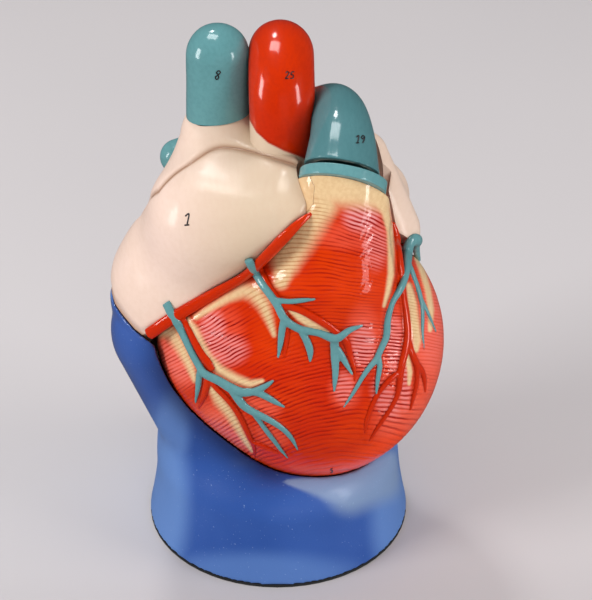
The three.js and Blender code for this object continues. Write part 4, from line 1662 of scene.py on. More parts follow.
class HeartMarks:
    """Everything painted or moulded on the front of the heart, in the photograph's pixels."""

    FAT = bands(
        (0.95, (152, 337, 7), (162, 331, 10), (172, 333, 12), (181, 348, 10), (189, 364, 8), (195, 380, 5)),
        (
            0.95, (188, 320, 5), (194, 330, 8), (200, 343, 8), (208, 358, 8), (220, 370, 8), (236, 379, 8),
            (250, 384, 7), (262, 381, 4),
        ),
        (0.95, (211, 388, 6), (219, 400, 10), (230, 414, 9), (238, 428, 7), (246, 442, 5), (252, 451, 3)),
        (0.5, (288, 307, 5), (300, 317, 8), (313, 326, 8), (327, 333, 5)),
        (0.7, (388, 216, 5), (390, 232, 6), (391, 252, 6), (391, 274, 6), (388, 292, 5), (384, 306, 3)),
        (0.6, (409, 286, 6), (412, 302, 9), (414, 322, 10), (417, 338, 9), (416, 350, 5)),
        (0.6, (407, 352, 3), (408, 360, 5), (410, 372, 5), (409, 384, 3)),
        (0.6, (416, 255, 5), (422, 270, 6), (428, 290, 6), (431, 310, 6), (430, 330, 4)),
        (0.55, (322, 204, 30), (308, 218, 36), (295, 240, 34), (286, 262, 26), (281, 282, 14)),
        (
            0.95, (196, 317, 5), (212, 307, 6), (228, 298, 8), (243, 291, 12), (254, 292, 15), (263, 304, 12),
            (269, 319, 8), (274, 335, 4),
        ),
        (0.45, (303, 172, 20), (308, 186, 34), (332, 184, 42), (360, 186, 40), (388, 194, 34)),
        (0.5, (378, 196, 20), (386, 212, 9), (389, 228, 6)),
    )
    STREAKS = (
        *bands((0.5, (310, 216, 36), (296, 240, 42), (286, 288, 30))),
        *ovals(
            (262, 308, 16, 28, 20, 0.9), (176, 350, 18, 30, 30, 0.5), (228, 410, 18, 34, 40, 0.6),
            (412, 318, 8, 30, 0, 0.7),
        ),
    )
    # Painted highlights: ovals where the fibre ridges are lightened in pink
    PINK_HIGHLIGHTS = ovals(
        (362, 217, 19, 15, 0, 0.95), (376, 244, 12, 26, 0, 0.5), (213, 330, 13, 20, 0, 0.75),
        (226, 350, 22, 16, 0, 0.65), (363, 345, 12, 22, 0, 0.7), (394, 350, 7, 26, 0, 0.6),
        (386, 400, 12, 22, 30, 0.55), (405, 385, 6, 26, 0, 0.6), (344, 388, 10, 16, 0, 0.5),
        (395, 332, 7, 16, 0, 0.5), (228, 436, 14, 26, 40, 0.28), (176, 362, 12, 26, 35, 0.25),
        (430, 330, 14, 40, 0, 0.22),
    )
    SALMON = ovals(
        (172, 358, 20, 34, 35), (224, 436, 26, 40, 40), (408, 420, 34, 32, 30), (432, 330, 24, 90, 0),
        (262, 405, 20, 12, -20, 0.8), (272, 434, 20, 14, -30, 0.6), (363, 340, 18, 34, 0, 0.8),
        (345, 390, 16, 20, 0, 0.7), (392, 350, 14, 50, 0, 0.8), (350, 236, 40, 14, 0, 0.5),
        (220, 336, 24, 34, 0, 0.5),
    )
    # Painted light: a band of brighter red along the lower rim, which the stand's cradle shades
    RIM = bands(
        (
            0.95, (190, 424, 14), (226, 456, 20), (262, 473, 24), (310, 480, 28), (360, 468, 26),
            (402, 440, 18),
        ),
    )
    FIBRES = FibreField(
        (
            (225, 320, 30), (240, 345, 30), (250, 365, 27), (214, 355, 32), (205, 330, 31), (232, 305, 26),
            (170, 360, 32), (185, 385, 32), (215, 430, 30), (235, 450, 24), (262, 400, 24), (275, 425, 22),
            (270, 330, 22), (290, 350, 17), (300, 370, 16), (320, 390, 14), (300, 400, 21), (330, 420, 13),
            (285, 430, 22), (300, 455, 16), (350, 430, 4), (380, 420, -12), (330, 462, 8), (370, 450, -16),
            (400, 430, -22), (318, 200, -2), (322, 230, -4), (345, 215, -16), (360, 224, -27),
            (375, 234, -31), (385, 245, -34), (350, 250, -12), (365, 268, -10), (305, 250, 2), (318, 280, 0),
            (285, 230, 4), (280, 260, 6), (365, 300, -5), (360, 325, -5), (362, 350, 0), (375, 380, -4),
            (390, 350, -3), (390, 395, 0), (407, 380, 4), (345, 388, 5), (430, 300, -10), (436, 345, -20),
            (425, 385, -8), (415, 415, 14),
        )
    )
    PLAIN = bands(
        (0.3, (300, 176, 24), (320, 186, 34), (345, 188, 38), (388, 194, 30)),
    )
    STRONG = ovals(
        (222, 340, 32, 36, 0, 1.0), (368, 234, 26, 36, 0, 1.0), (330, 250, 34, 40, 0, 0.6),
        (362, 345, 18, 34, 0, 1.0), (393, 350, 14, 50, 0, 1.0), (390, 400, 26, 34, 20, 0.9),
        (300, 400, 70, 50, 0, 0.7), (330, 300, 46, 40, 0, 0.45), (250, 440, 50, 30, 0, 0.5),
        (180, 365, 24, 34, 0, 0.4),
    )
    RIGHT_CORONARY = (
        Vessel(
            (
                (312, 213, 2.5), (302, 220, 6), (285, 236, 10), (265, 256, 11), (246, 273, 11),
                (213, 293, 11), (190, 307, 11), (172, 318, 11), (150, 333, 11),
            ),
            0.3,
        ),
        *courses(
            (
                (258, 264, 5), (264, 277, 6.5), (272, 291, 7), (282, 303, 7), (299, 309, 6.5),
                (316, 318, 6.5), (333, 329, 6), (346, 341, 6), (350, 355, 4.5), (354, 367, 3),
                (354.5, 381, 1),
            ),
            ((279, 300, 5), (285, 313, 5), (287, 327, 5), (286, 341, 4), (284, 358, 1)),
            ((180, 314, 5), (188, 328, 5.5), (195, 342, 6.5), (202, 354, 7), (209, 363, 7), (213, 370, 5)),
            ((206, 371, 6), (208, 379, 7), (204, 395, 5), (199, 408, 1.2)),
            (
                (211, 379, 4), (215, 386, 5), (226, 397, 5.2), (235, 408, 5.2), (243, 422, 5),
                (248, 433, 4.6), (252, 441, 4), (265, 446, 3), (278, 452, 1),
            ),
            ((251, 439, 3.5), (254, 447, 2.6), (255, 456, 1)),
        ),
    )
    LEFT_CORONARY = courses(
        (
            (392, 222, 3), (394, 232, 8), (397, 250, 10), (400, 270, 9), (403, 296, 7), (406, 318, 7.5),
            (407, 335, 7.5), (405, 350, 7.5), (402, 361, 7), (400, 373, 6.5), (398, 391, 5.2),
            (391, 407, 4.5), (379, 425, 3.4), (369, 441, 1),
        ),
        (
            (401, 371, 5), (392, 377, 5), (385, 384, 5), (378, 393, 4.2), (371, 408, 3.4), (366, 422, 2.4),
            (365, 433, 1),
        ),
        (
            (407, 333, 3.5), (409, 343, 5), (412, 355, 6), (416, 363, 6), (416.5, 373, 4.8), (416, 384, 4.6),
            (413, 397, 4), (410, 410, 1.2),
        ),
        ((414, 360, 5), (421, 370, 5), (424, 378, 4.4), (425, 392, 1.2)),
    )
    SMALL_VEINS = courses(
        (
            (166, 302.5, 8.5), (169, 307, 8.5), (173, 314, 8), (180, 326, 8), (188, 341, 7.5),
            (196, 358, 7.5), (204, 370, 8.5), (218, 379, 9), (232, 388, 10.5), (244, 392, 9), (254, 391, 7),
            (265, 386, 5.5), (274, 380, 1.5),
        ),
        ((244, 391, 7), (254, 391.5, 7), (263, 394.5, 7), (274, 401, 5.5), (285, 407, 1.5)),
        (
            (231, 388, 8), (237, 396, 9), (243, 404, 9), (251, 410, 8.5), (265, 417, 7.5), (280, 426, 6),
            (291, 437, 4.4), (298, 450, 1.2),
        ),
        ((252, 411, 5), (259, 420, 4.8), (267, 431, 5), (277, 444, 4.2), (288, 458, 1.4)),
        ((203, 368, 6), (200.5, 374, 6.5), (199, 385, 5.5), (196, 402, 1.2)),
        (
            (248.5, 258, 8.5), (252, 264, 8.5), (257, 273, 8), (265, 285, 8), (273, 295, 8), (280, 306, 8),
            (284, 315, 8), (290, 322, 8), (298, 328, 8), (308, 330.5, 7.5), (321, 333, 7.5), (334, 337, 9),
            (342, 333, 7.5), (351, 329, 6), (363, 325, 1.8),
        ),
        ((277, 299, 5), (290, 300.5, 5), (303, 300, 4.4), (316, 299, 1.4)),
        ((285, 318, 6), (282.5, 330, 6.5), (280.5, 343, 5), (278, 358, 1.2)),
        ((300, 329, 6), (306, 339, 6.8), (310, 350, 6.5), (310, 362, 1.4)),
        (
            (334, 337, 8), (334.5, 347, 8), (334.5, 357, 7.4), (335.4, 367, 6.8), (335, 378, 5),
            (334, 392, 1.2),
        ),
        ((335, 346, 6), (339.5, 352, 6.2), (344.5, 361, 5.4), (352, 374, 1.2)),
    )
    GREAT_VEIN = courses(
        (
            (423, 255, 7), (421, 244, 10), (413, 239, 12), (407, 247, 12), (405, 260, 11), (402, 275, 9),
            (397, 290, 8.5), (391, 304, 7.5), (387, 320, 7.5), (386, 336, 7.5), (381, 348, 6.6),
            (376, 359, 6), (368.6, 368, 5), (361, 379, 4.2), (353, 393, 3.2), (343, 408, 1),
        ),
        ((378, 356, 5), (379.5, 365, 5.2), (378, 377, 4.6), (375, 393, 1.2)),
        (
            (405, 262, 8), (411, 273, 7.5), (417, 288, 6.8), (421, 303, 5.6), (422, 319, 4.6),
            (422, 333, 3.4), (424, 349, 1),
        ),
        ((418, 292, 4), (425, 308, 4.2), (430, 319, 3.4), (436, 332, 1.2)),
    )

    def vessels(self) -> tuple[Vessel, ...]:
        """Every vessel of the front."""
        return (*self.RIGHT_CORONARY, *self.LEFT_CORONARY, *self.SMALL_VEINS, *self.GREAT_VEIN)

    def edges(self, pixels: np.ndarray) -> tuple[np.ndarray, np.ndarray]:
        """Finds what lies beside the vessels.

        Args:
            pixels: one row for each pixel.

        Returns:
            The line beside the vessels, which is sunk and darkened as painted shade, and the soft bed that
            they lie in.
        """
        line, bed = np.zeros(len(pixels)), np.zeros(len(pixels))
        for vessel in self.vessels():
            half = 0.5 * float(np.median(np.array(vessel.points)[:, 2]))
            shares = vessel.band().shares(pixels)
            line = np.maximum(line, np.exp(-(((shares - 1.05) * half / 1.1) ** 2)))
            bed = np.maximum(bed, 1.0 - smooth_step(0.3, 1.0, vessel.band(13.0).shares(pixels)))
        return line, bed

    def relief(self, places: np.ndarray) -> np.ndarray:
        """Raises the fat and the vessels' beds, and sinks the grooves.

        Args:
            places: one row for each place.

        Returns:
            How far the front of the heart is raised at each place, in millimetres.
        """
        pixels = VIEW.project(places)
        wave = 0.5 + 0.5 * np.sin(2.0 * np.pi * self.FIBRES.phases(pixels))
        groove = 1.0 - smooth_step(0.0, 0.55, wave)
        depth = 0.46 * self.strength(pixels)
        fat = most(self.FAT, pixels)
        line, bed = self.edges(pixels)
        return 0.15 * fat + 0.35 * bed - groove * depth * (1.0 - 0.55 * fat) - 0.45 * line

    def strength(self, pixels: np.ndarray) -> np.ndarray:
        """How deep the fibre grooves are at each pixel, in broken strokes."""
        strokes = smooth_step(-0.55, 0.5, wobble(pixels * (0.55, 1.7), 30.0, 2.0))
        lined = 1.0 - 0.95 * most(self.PLAIN, pixels)
        return (0.26 + 0.74 * most(self.STRONG, pixels)) * (0.35 + 0.65 * strokes) * lined

    def marks(self, places: np.ndarray) -> dict[str, np.ndarray]:
        """The painted values at each place, by name.

        Args:
            places: one row for each place.

        Returns:
            The values at each place, by name.
        """
        pixels = VIEW.project(places)
        painted = {
            "fat": self.FAT,
            "streaks": self.STREAKS,
            # Painted highlights in pink on the fibre ridges
            "pink": self.PINK_HIGHLIGHTS,
            "salmon": self.SALMON,
            # Painted light along the lower rim
            "rim": self.RIM,
        }
        return {
            "fibre_count": self.FIBRES.phases(pixels),
            "fibre_depth": self.strength(pixels),
            # Painted shade: a dark line beside the vessels, where their shadow falls
            "painted_shade": 0.3 * self.edges(pixels)[0],
            **{name: most(marks, pixels) for name, marks in painted.items()},
        }


MARKS = HeartMarks()


def laid(
    vessel: Vessel, form: Form, under: Sequence[Vessel] = (), swell: float = 0.28, sides: int = 16
) -> Solid:
    """The tube of a vessel that lies on a form.

    Args:
        vessel: the vessel, in the photograph's pixels.
        form: what it lies on.
        under: vessels that it passes over.
        swell: what the smoothing of the skin takes off its radius.
        sides: corners of each ring.

    Returns:
        The tube.
    """
    rows = np.array(vessel.points)
    length = float(np.linalg.norm(np.diff(rows[:, :2], axis=0), axis=1).sum())
    steps = max(int(length / 2.2), 6)
    line = smooth_line(rows, steps)
    places = VIEW.land(form, line[:, :2])
    out = outwards(form, places)
    scale = (places - VIEW.eye) @ VIEW.ahead / VIEW.focal
    radii = np.maximum(0.5 * line[:, 2] * scale, 0.1) + swell
    over = most([other.band(6.0, 0.8) for other in under], line[:, :2])
    middle = places + out * (vessel.lift * radii + 1.7 * over)[:, None]
    for _ in range(2):
        middle[1:-1] = 0.25 * middle[:-2] + 0.5 * middle[1:-1] + 0.25 * middle[2:]
    return hose(middle, radii, sides, out)


@dataclass
class SurfaceVessels:
    """The painted vessels that lie on the front of the heart."""

    finishes: Finishes
    cell: float = 0.5
    rounds: int = 5

    def build(self) -> None:
        """Makes one skin for each colour of vessel."""
        form = nearest(FORMS.ventricles, FORMS.atria, FORMS.left_auricle)
        arteries = (*MARKS.RIGHT_CORONARY, *MARKS.LEFT_CORONARY)
        red = heap([laid(v, form, swell=0.5) for v in arteries]).merged(self.cell, self.rounds)
        finished(red, Berth("coronary_arteries_front", "front_wall", "artery"), [self.finishes.artery])
        veins = (*MARKS.SMALL_VEINS, *MARKS.GREAT_VEIN)
        teal = heap([laid(v, form, arteries) for v in veins]).merged(self.cell, self.rounds)
        finished(teal, Berth("coronary_veins_front", "front_wall", "teal"), [self.finishes.vein])


# Where the pieces part


@dataclass(frozen=True)
class Outline:
    """The outline of a cover, seen along the way that it comes off.

    Args:
        straight: its far corners, away from the heart.
        curved: places that a smooth line passes through.
        pull: the way the cover comes off.
    """

    straight: tuple[Point, ...]
    curved: tuple[Point, ...]
    pull: np.ndarray

    @property
    def places(self) -> list[tuple[float, ...]]:
        """The whole outline as short straight parts."""
        smooth = smooth_line(self.curved, 5 * len(self.curved))
        return [*self.straight, *(tuple(place) for place in smooth)]

    def bar(self, margin: float) -> Solid:
        """Everything inside the outline, widened by a margin."""
        return prism(self.places, self.pull, margin)

    def away(self, places: np.ndarray) -> np.ndarray:
        """Measures across the pull.

        Args:
            places: one row for each place.

        Returns:
            How far each place is from the outline, seen along the pull.
        """
        turn = turned_up(self.pull)
        flat, corners = (places @ turn.T)[:, :2], (np.array(self.places, float) @ turn.T)[:, :2]
        found = np.full(len(places), np.inf)
        for a, b in zip(corners, np.roll(corners, -1, axis=0)):
            q, along = flat - a, b - a
            share = np.clip(q @ along / float(along @ along), 0.0, 1.0)
            found = np.minimum(found, np.linalg.norm(q - share[:, None] * along, axis=1))
        return found


FRONT_SEAM = Seam((20, 0, 130), unit(0.187, -1, -0.072))
ATRIUM_SEAM = Seam((-36, 0, 168), unit(-0.45, -0.75, 0.48))
LEFT_SEAM = Seam((46, 40, 205), unit(0.86, 0.3, 0.1))
RIM = Seam((-78, -37, 151), unit(52, 12, 99))
VALVE = Seam((35.2, -35.5, 244.5), unit(0.17, 0.69, 0.7))
TRICUSPID = Seam((-32, 5, 172), unit(24, -8, -38))
MITRAL = Seam((41, 27, 175), unit(12, -16, -50))
AORTA_ROOT = np.array([4.0, 0.0, 214.0])
SOCKET_FOOT = (4, 0, 180)
UPPER_VEIN = ((-32, 18, 225), (-31, 21, 286.4))
# Places from which the whole skin of each form is seen
HEART_MIDDLE = (20, -14, 135)
ATRIA_MIDDLE = (-20, 18, 192)
LEFT_ATRIUM_MIDDLE = (28, 40, 190)
AURICLE_MIDDLE = (54, 14, 200)
STAND_MIDDLE = (-22, 0, 42)
WAY_MIDDLE = (-30, 10, 185)
# The groove between atria and ventricles, then round the outflow tract and the left auricle
FRONT_EDGE = Outline(
    (
        (-150, -40, 140), (-150, 0, -60), (140, 0, -60), (140, 0, 190), (72, -20, 200), (62, -33, 218),
        (59, -35, 235), (66, -20, 290), (12, -20, 290), (14, -34, 250), (20, -46, 243),
    ),
    (
        (19.4, -52, 237.5), (3, -56, 218), (-8, -51, 205), (-17, -46, 192), (-35, -46, 179), (-46, -47, 168),
        (-69, -43, 152),
    ),
    unit(0, -0.72, 0.69),
)
# The groove under the roof of the atria
ATRIUM_EDGE = Outline(
    (
        (-92, 10, 200), (-104, 6, 170), (-90, -18, 155), (-78, -37, 151), (-69, -43, 147), (-40, -90, 130),
        (60, -80, 236),
    ),
    ((13, -28, 246), (-6, -17, 247), (-22, -8, 246.5), (-33, -6.5, 245), (-48, -13, 238.5), (-63, -18, 226)),
    unit(-0.45, -0.5, 0.74),
)


def mitral_way(radius: float) -> Solid:
    """The way through the mitral valve."""
    return rod(MITRAL.along(-24), MITRAL.along(30), radius)


def tricuspid_way(radius: float) -> Solid:
    """The way through the tricuspid valve."""
    return rod(TRICUSPID.along(-22), TRICUSPID.along(24), radius)


def ripples(places: np.ndarray, size: float, seed: float = 0.0) -> np.ndarray:
    """Smooth uneven waves in space.

    Args:
        places: one row for each place.
        size: the rough spacing of the waves.
        seed: which pattern.

    Returns:
        A value from -1 to 1 for each place.
    """
    x, y, z = (places * (2.0 * np.pi / size)).T
    first = np.sin(x + 1.7 * np.sin(0.7 * y + seed)) * np.sin(0.9 * y + 1.3 * np.sin(0.8 * z))
    second = np.sin(1.1 * z + 1.9 * np.sin(0.6 * x + seed + 2.0))
    return 0.5 * (first + second)


def cords(places: np.ndarray) -> np.ndarray:
    """The muscle cords that stand out inside a chamber.

    Args:
        places: one row for each place.

    Returns:
        The inward relief in millimetres, as negative numbers.
    """
    winding = 3.2 * np.sin(places[:, 2] / 17.0) + 2.0 * np.sin(places[:, 0] / 9.0)
    around = np.arctan2(places[:, 1], places[:, 0] - places[:, 0].mean()) * 11.0
    rope = np.abs(np.sin(around + winding))
    return -1.1 * (1.0 - smooth_step(0.0, 0.55, rope)) * (0.6 + 0.4 * np.sin(places[:, 2] / 6.0))


@dataclass(frozen=True)
class RearMarks:
    """What is moulded and painted on the back of the heart, round an upright axis.

    Args:
        middle: the axis.
        radius: the mean distance of the skin from it.
        spacing: from groove to groove.
    """

    middle: tuple[float, float] = (16.0, 0.0)
    radius: float = 58.0
    spacing: float = 2.4

    def counts(self, places: np.ndarray) -> np.ndarray:
        """How many grooves lie below each place."""
        around = np.arctan2(places[:, 0] - self.middle[0], places[:, 1] - self.middle[1]) * self.radius
        slope = 0.34 * around + 5.0 * np.sin(around / 21.0) + 2.5 * np.sin(places[:, 2] / 15.0)
        return (places[:, 2] + slope) / self.spacing

    def bare(self, places: np.ndarray) -> np.ndarray:
        """1 where the rear half shows at the front beside the outflow tract, as plain fat."""
        return smooth_step(8.0, 16.0, -places[:, 1]) * smooth_step(176.0, 190.0, places[:, 2])

    def relief(self, places: np.ndarray) -> np.ndarray:
        """How far the back is raised at each place, in millimetres."""
        wave = 0.5 + 0.5 * np.sin(2.0 * np.pi * self.counts(places))
        lined = 1.0 - self.bare(places)
        return -0.32 * (1.0 - smooth_step(0.0, 0.5, wave)) * lined + 0.2 * ripples(places, 60.0)

    def marks(self, places: np.ndarray) -> dict[str, np.ndarray]:
        """The painted values at each place, by name.

        Args:
            places: one row for each place.

        Returns:
            The values at each place, by name.
        """
        wave, bare = ripples(places, 44.0, 1.0), self.bare(places)
        high = smooth_step(150.0, 190.0, places[:, 2])
        return {
            "fibre_count": self.counts(places),
            "fibre_depth": (0.55 + 0.3 * wave) * (1.0 - 0.9 * bare),
            "fat": np.maximum(0.5 * high * smooth_step(0.1, 0.9, wave), 0.95 * bare),
            "streaks": 0.8 * (1.0 - bare),
            # Painted highlights in pink on the ridges of the back's fibres
            "pink": 0.35 * smooth_step(0.1, 0.8, wave),
            "salmon": smooth_step(-0.2, 0.7, ripples(places, 70.0, 3.0)),
            "painted_shade": np.zeros(len(places)),
        }


REAR = RearMarks()


def beside(outline: Outline, seam: Seam, places: np.ndarray, reach: float = 2.0) -> np.ndarray:
    """How far each place is from a cover's outline, and a far way off behind the cover's seam."""
    return np.where(seam.depth(places) > -reach, outline.away(places), FAR)


def seam_roll(places: np.ndarray) -> np.ndarray:
    """The rolled edges beside the seams of the front wall.

    Args:
        places: one row for each place.

    Returns:
        How far the skin rolls in at each place, in millimetres.
    """
    depth = FRONT_SEAM.depth(places)
    front = beside(FRONT_EDGE, FRONT_SEAM, places)
    near = np.where(front < FAR - 1.0, front, np.minimum(front, np.abs(depth)))
    near = np.where(depth < 3.0, np.minimum(near, np.abs(depth)), near)
    return 0.75 * np.exp(-((near / 0.9) ** 2))


def ventricle_relief(places: np.ndarray) -> np.ndarray:
    """The relief of the whole ventricle skin.

    Args:
        places: one row for each place.

    Returns:
        How far the skin is raised at each place, in millimetres.
    """
    front = smooth_step(-0.6, 0.0, FRONT_SEAM.depth(places))
    found = REAR.relief(places)
    at = front > 0.0
    found[at] = found[at] * (1.0 - front[at]) + MARKS.relief(places[at]) * front[at]
    return found - seam_roll(places) - 0.15 * smooth_step(80.0, 92.0, places[:, 0])


def atrial_relief(places: np.ndarray) -> np.ndarray:
    """The relief of the atria.

    Args:
        places: one row for each place.

    Returns:
        How far the skin is raised at each place, in millimetres.
    """
    lines = np.minimum(beside(ATRIUM_EDGE, ATRIUM_SEAM, places), np.abs(LEFT_SEAM.depth(places)))
    lines = np.minimum(lines, beside(FRONT_EDGE, FRONT_SEAM, places))
    waves = 0.07 * ripples(places, 31.0) + 0.03 * ripples(places, 13.0, 2.0)
    edge = 0.45 * smooth_step(76.0, 90.0, -places[:, 0])
    return np.minimum(waves, 0.25) - edge - 1.5 * np.exp(-((lines / 2.2) ** 2))


@dataclass
class HeartSolids:
    """The large solids that several pieces are cut from, made once, in millimetres.

    Args:
        gap: the clearance between pieces that part.
        cradle_gap: the clearance between the heart and the stand.
        ring_height: the height of the pulmonary valve's band.
        bore: the radius of the aorta's way out.
        conus_bore: the radius of the way out to the lungs.
        step: how deep the stand's rim reaches into the atria's outer layer.
        fine: the fineness of the ventricles' skin.
    """

    gap: float = 0.15
    cradle_gap: float = 0.5
    ring_height: float = 6.0
    bore: float = 13.5
    conus_bore: float = 18.0
    step: float = 6.0
    fine: int = 92

    def __post_init__(self) -> None:
        """Makes the solids, in the order in which they need each other."""
        raw = Skin(HEART_MIDDLE, self.fine, (0, -0.35, 0.05)).over(FORMS.ventricles, ventricle_relief)
        self.heart = raw.cut(VALVE.side(-self.ring_height))
        self.slack = Skin(HEART_MIDDLE, 40).over(grow(self.gap + FORMS.paint_depth, FORMS.ventricles))
        self.atria = Skin(ATRIA_MIDDLE, 80, (-0.1, -0.3, 0.1)).over(FORMS.atria, atrial_relief)
        self.left_chamber = self._left_chamber()
        self.right_chamber = self._right_chamber()
        self.left_space = self._left_space()
        self.right_space = self._right_space()

    def atria_grown(self, extra: float) -> Solid:
        """The atria swollen by a margin, or shrunk."""
        return Skin(ATRIA_MIDDLE, 36).over(grow(extra, FORMS.atria))

    def front_zone(self, margin: float) -> Solid:
        """What belongs to the front wall."""
        return FRONT_EDGE.bar(margin).keep(FRONT_SEAM.side(-margin))

    def atrium_zone(self, margin: float) -> Solid:
        """What belongs to the cover of the right atrium."""
        return ATRIUM_EDGE.bar(margin).keep(ATRIUM_SEAM.side(-margin))

    def rim_zone(self, margin: float) -> Solid:
        """Where the stand takes the place of the atria's outer layer."""
        reach = Skin((-50, 0, 110), 36).over(grow(8.0 + margin, FORMS.shoulder))
        return RIM.back().side(-margin).keep(reach)

    def rim_step(self, depth: float) -> Solid:
        """That layer itself, some way deep."""
        return self.rim_zone(depth - self.step).cut(self.atria_grown(-depth))

    def _left_chamber(self) -> Solid:
        """The left ventricle's hollow with its way out to the aorta."""
        room = Skin((50, 10, 120), 44).over(FORMS.left_chamber, cords)
        way = tube([(42, 8, 148), (20, 3, 184), (4, 0, 206)], [15, self.bore, self.bore])
        root = rod((4, 0, 200), AORTA_ROOT + (0, 0, 6), self.bore)
        return room.join(way, root, mitral_way(14))

    def _right_chamber(self) -> Solid:
        """The right ventricle's hollow with its way out to the lungs."""
        room = Skin((-16, -30, 140), 52).over(FORMS.right_chamber, cords)
        way = tube([(8, -34, 165), (27, -31, 198), VALVE.place], [17, 17, self.conus_bore - 1])
        out = rod(VALVE.along(-self.ring_height), VALVE.along(8), self.conus_bore)
        return room.join(way, out, tricuspid_way(15))

    def _left_space(self) -> Solid:
        """The hollow of the left atrium."""
        room = Skin(LEFT_ATRIUM_MIDDLE, 36).over(grow(-FORMS.atrium_wall, FORMS.left_atrium))
        return room.cut(self.slack)

    def _right_space(self) -> Solid:
        """The hollow of the right atrium."""
        room = Skin((-46, 0, 182), 44).over(grow(-FORMS.atrium_wall, FORMS.right_atrium), cords)
        other = Skin(LEFT_ATRIUM_MIDDLE, 30).over(FORMS.left_atrium)
        return room.cut(self.rim_step(self.step + FORMS.atrium_wall), self.slack, other)


@dataclass
class Fit:
    """What every sub-assembly is built with."""

    solids: HeartSolids
    finishes: Finishes

    def coats(self, *names: str) -> list[Finish]:
        """Some finishes by name."""
        return [getattr(self.finishes, name) for name in names]


def layers(solid: Solid, outside: Form, hollows: Sequence[Form], reach: float = 2.2) -> np.ndarray:
    """Which paint each face takes.

    Args:
        solid: the piece.
        outside: the form of its outer skin.
        hollows: the forms of the hollows it borders.
        reach: how close to a hollow's form a face counts as its wall.

    Returns:
        0 on the outer skin, 1 on the walls of a hollow, 2 on cut faces.
    """
    kinds = np.full(len(solid.mesh.polygons), 2)
    for form in hollows:
        away, facing = turned_out(solid, form)
        kinds[(np.abs(away) < reach) & (facing < -0.3)] = 1
    away, facing = turned_out(solid, outside)
    kinds[(away > -1.6) & (facing > 0.35)] = 0
    return kinds


@dataclass
class FrontWall:
    """The removable front of both ventricles, with its vessels and the teal band of the pulmonary valve."""

    fit: Fit
    ring_radius: float = 23.0
    root_clearance: float = 18.8

    def build(self) -> None:
        """Makes the wall, the band and the painted vessels."""
        s = self.fit.solids
        foot = rod(AORTA_ROOT, (4, 0, 244), self.root_clearance)
        ways = [foot.moved(FRONT_EDGE.pull * -distance) for distance in (0, 5, 10, 15, 22)]
        wall = s.heart.keep(s.front_zone(0.0)).cut(s.left_chamber, s.right_chamber, *ways, *pin_holes())
        kinds = layers(wall, FORMS.ventricles, (FORMS.left_chamber, FORMS.right_chamber))
        berth = Berth("front_wall_painted", "front_wall", "muscle", ("front_wall",))
        coats = self.fit.coats("muscle", "chamber", "cut_face")
        finished(wall, berth, coats, kinds, MARKS.marks(wall.places()))
        ring = rod(VALVE.along(-s.ring_height + s.gap), VALVE.place, self.ring_radius)
        band = ring.cut(s.right_chamber, s.atria_grown(2 * s.gap + FORMS.paint_depth)).merged(0.45, 4)
        berth = Berth("pulmonary_band", "front_wall", "teal", ("pulmonary_ring",))
        finished(band, berth, self.fit.coats("vein"))
        SurfaceVessels(self.fit.finishes).build()


PIN_PLACES = ((17.0, 96.0), (86.0, 132.0))
PIN_RADIUS, PIN_HOLE_RADIUS = 1.6, 1.9


def pin_at(x: float, z: float, radius: float, margin: float) -> Solid:
    """A locating pin on the seam of the front wall.

    Args:
        x: its place from left to right.
        z: its height.
        radius: its radius.
        margin: how much longer it is at each end.

    Returns:
        The pin, or the hole for it.
    """
    place, normal = FRONT_SEAM.place, FRONT_SEAM.normal
    y = place[1] - (normal[0] * (x - place[0]) + normal[2] * (z - place[2])) / normal[1]
    reach = FRONT_EDGE.pull * (6.5 + margin)
    return rod(np.array([x, y, z]) - reach, np.array([x, y, z]) + reach, radius)


def pin_holes() -> list[Solid]:
    """The holes of the two locating pins."""
    return [pin_at(x, z, PIN_HOLE_RADIUS, 0.3) for x, z in PIN_PLACES]


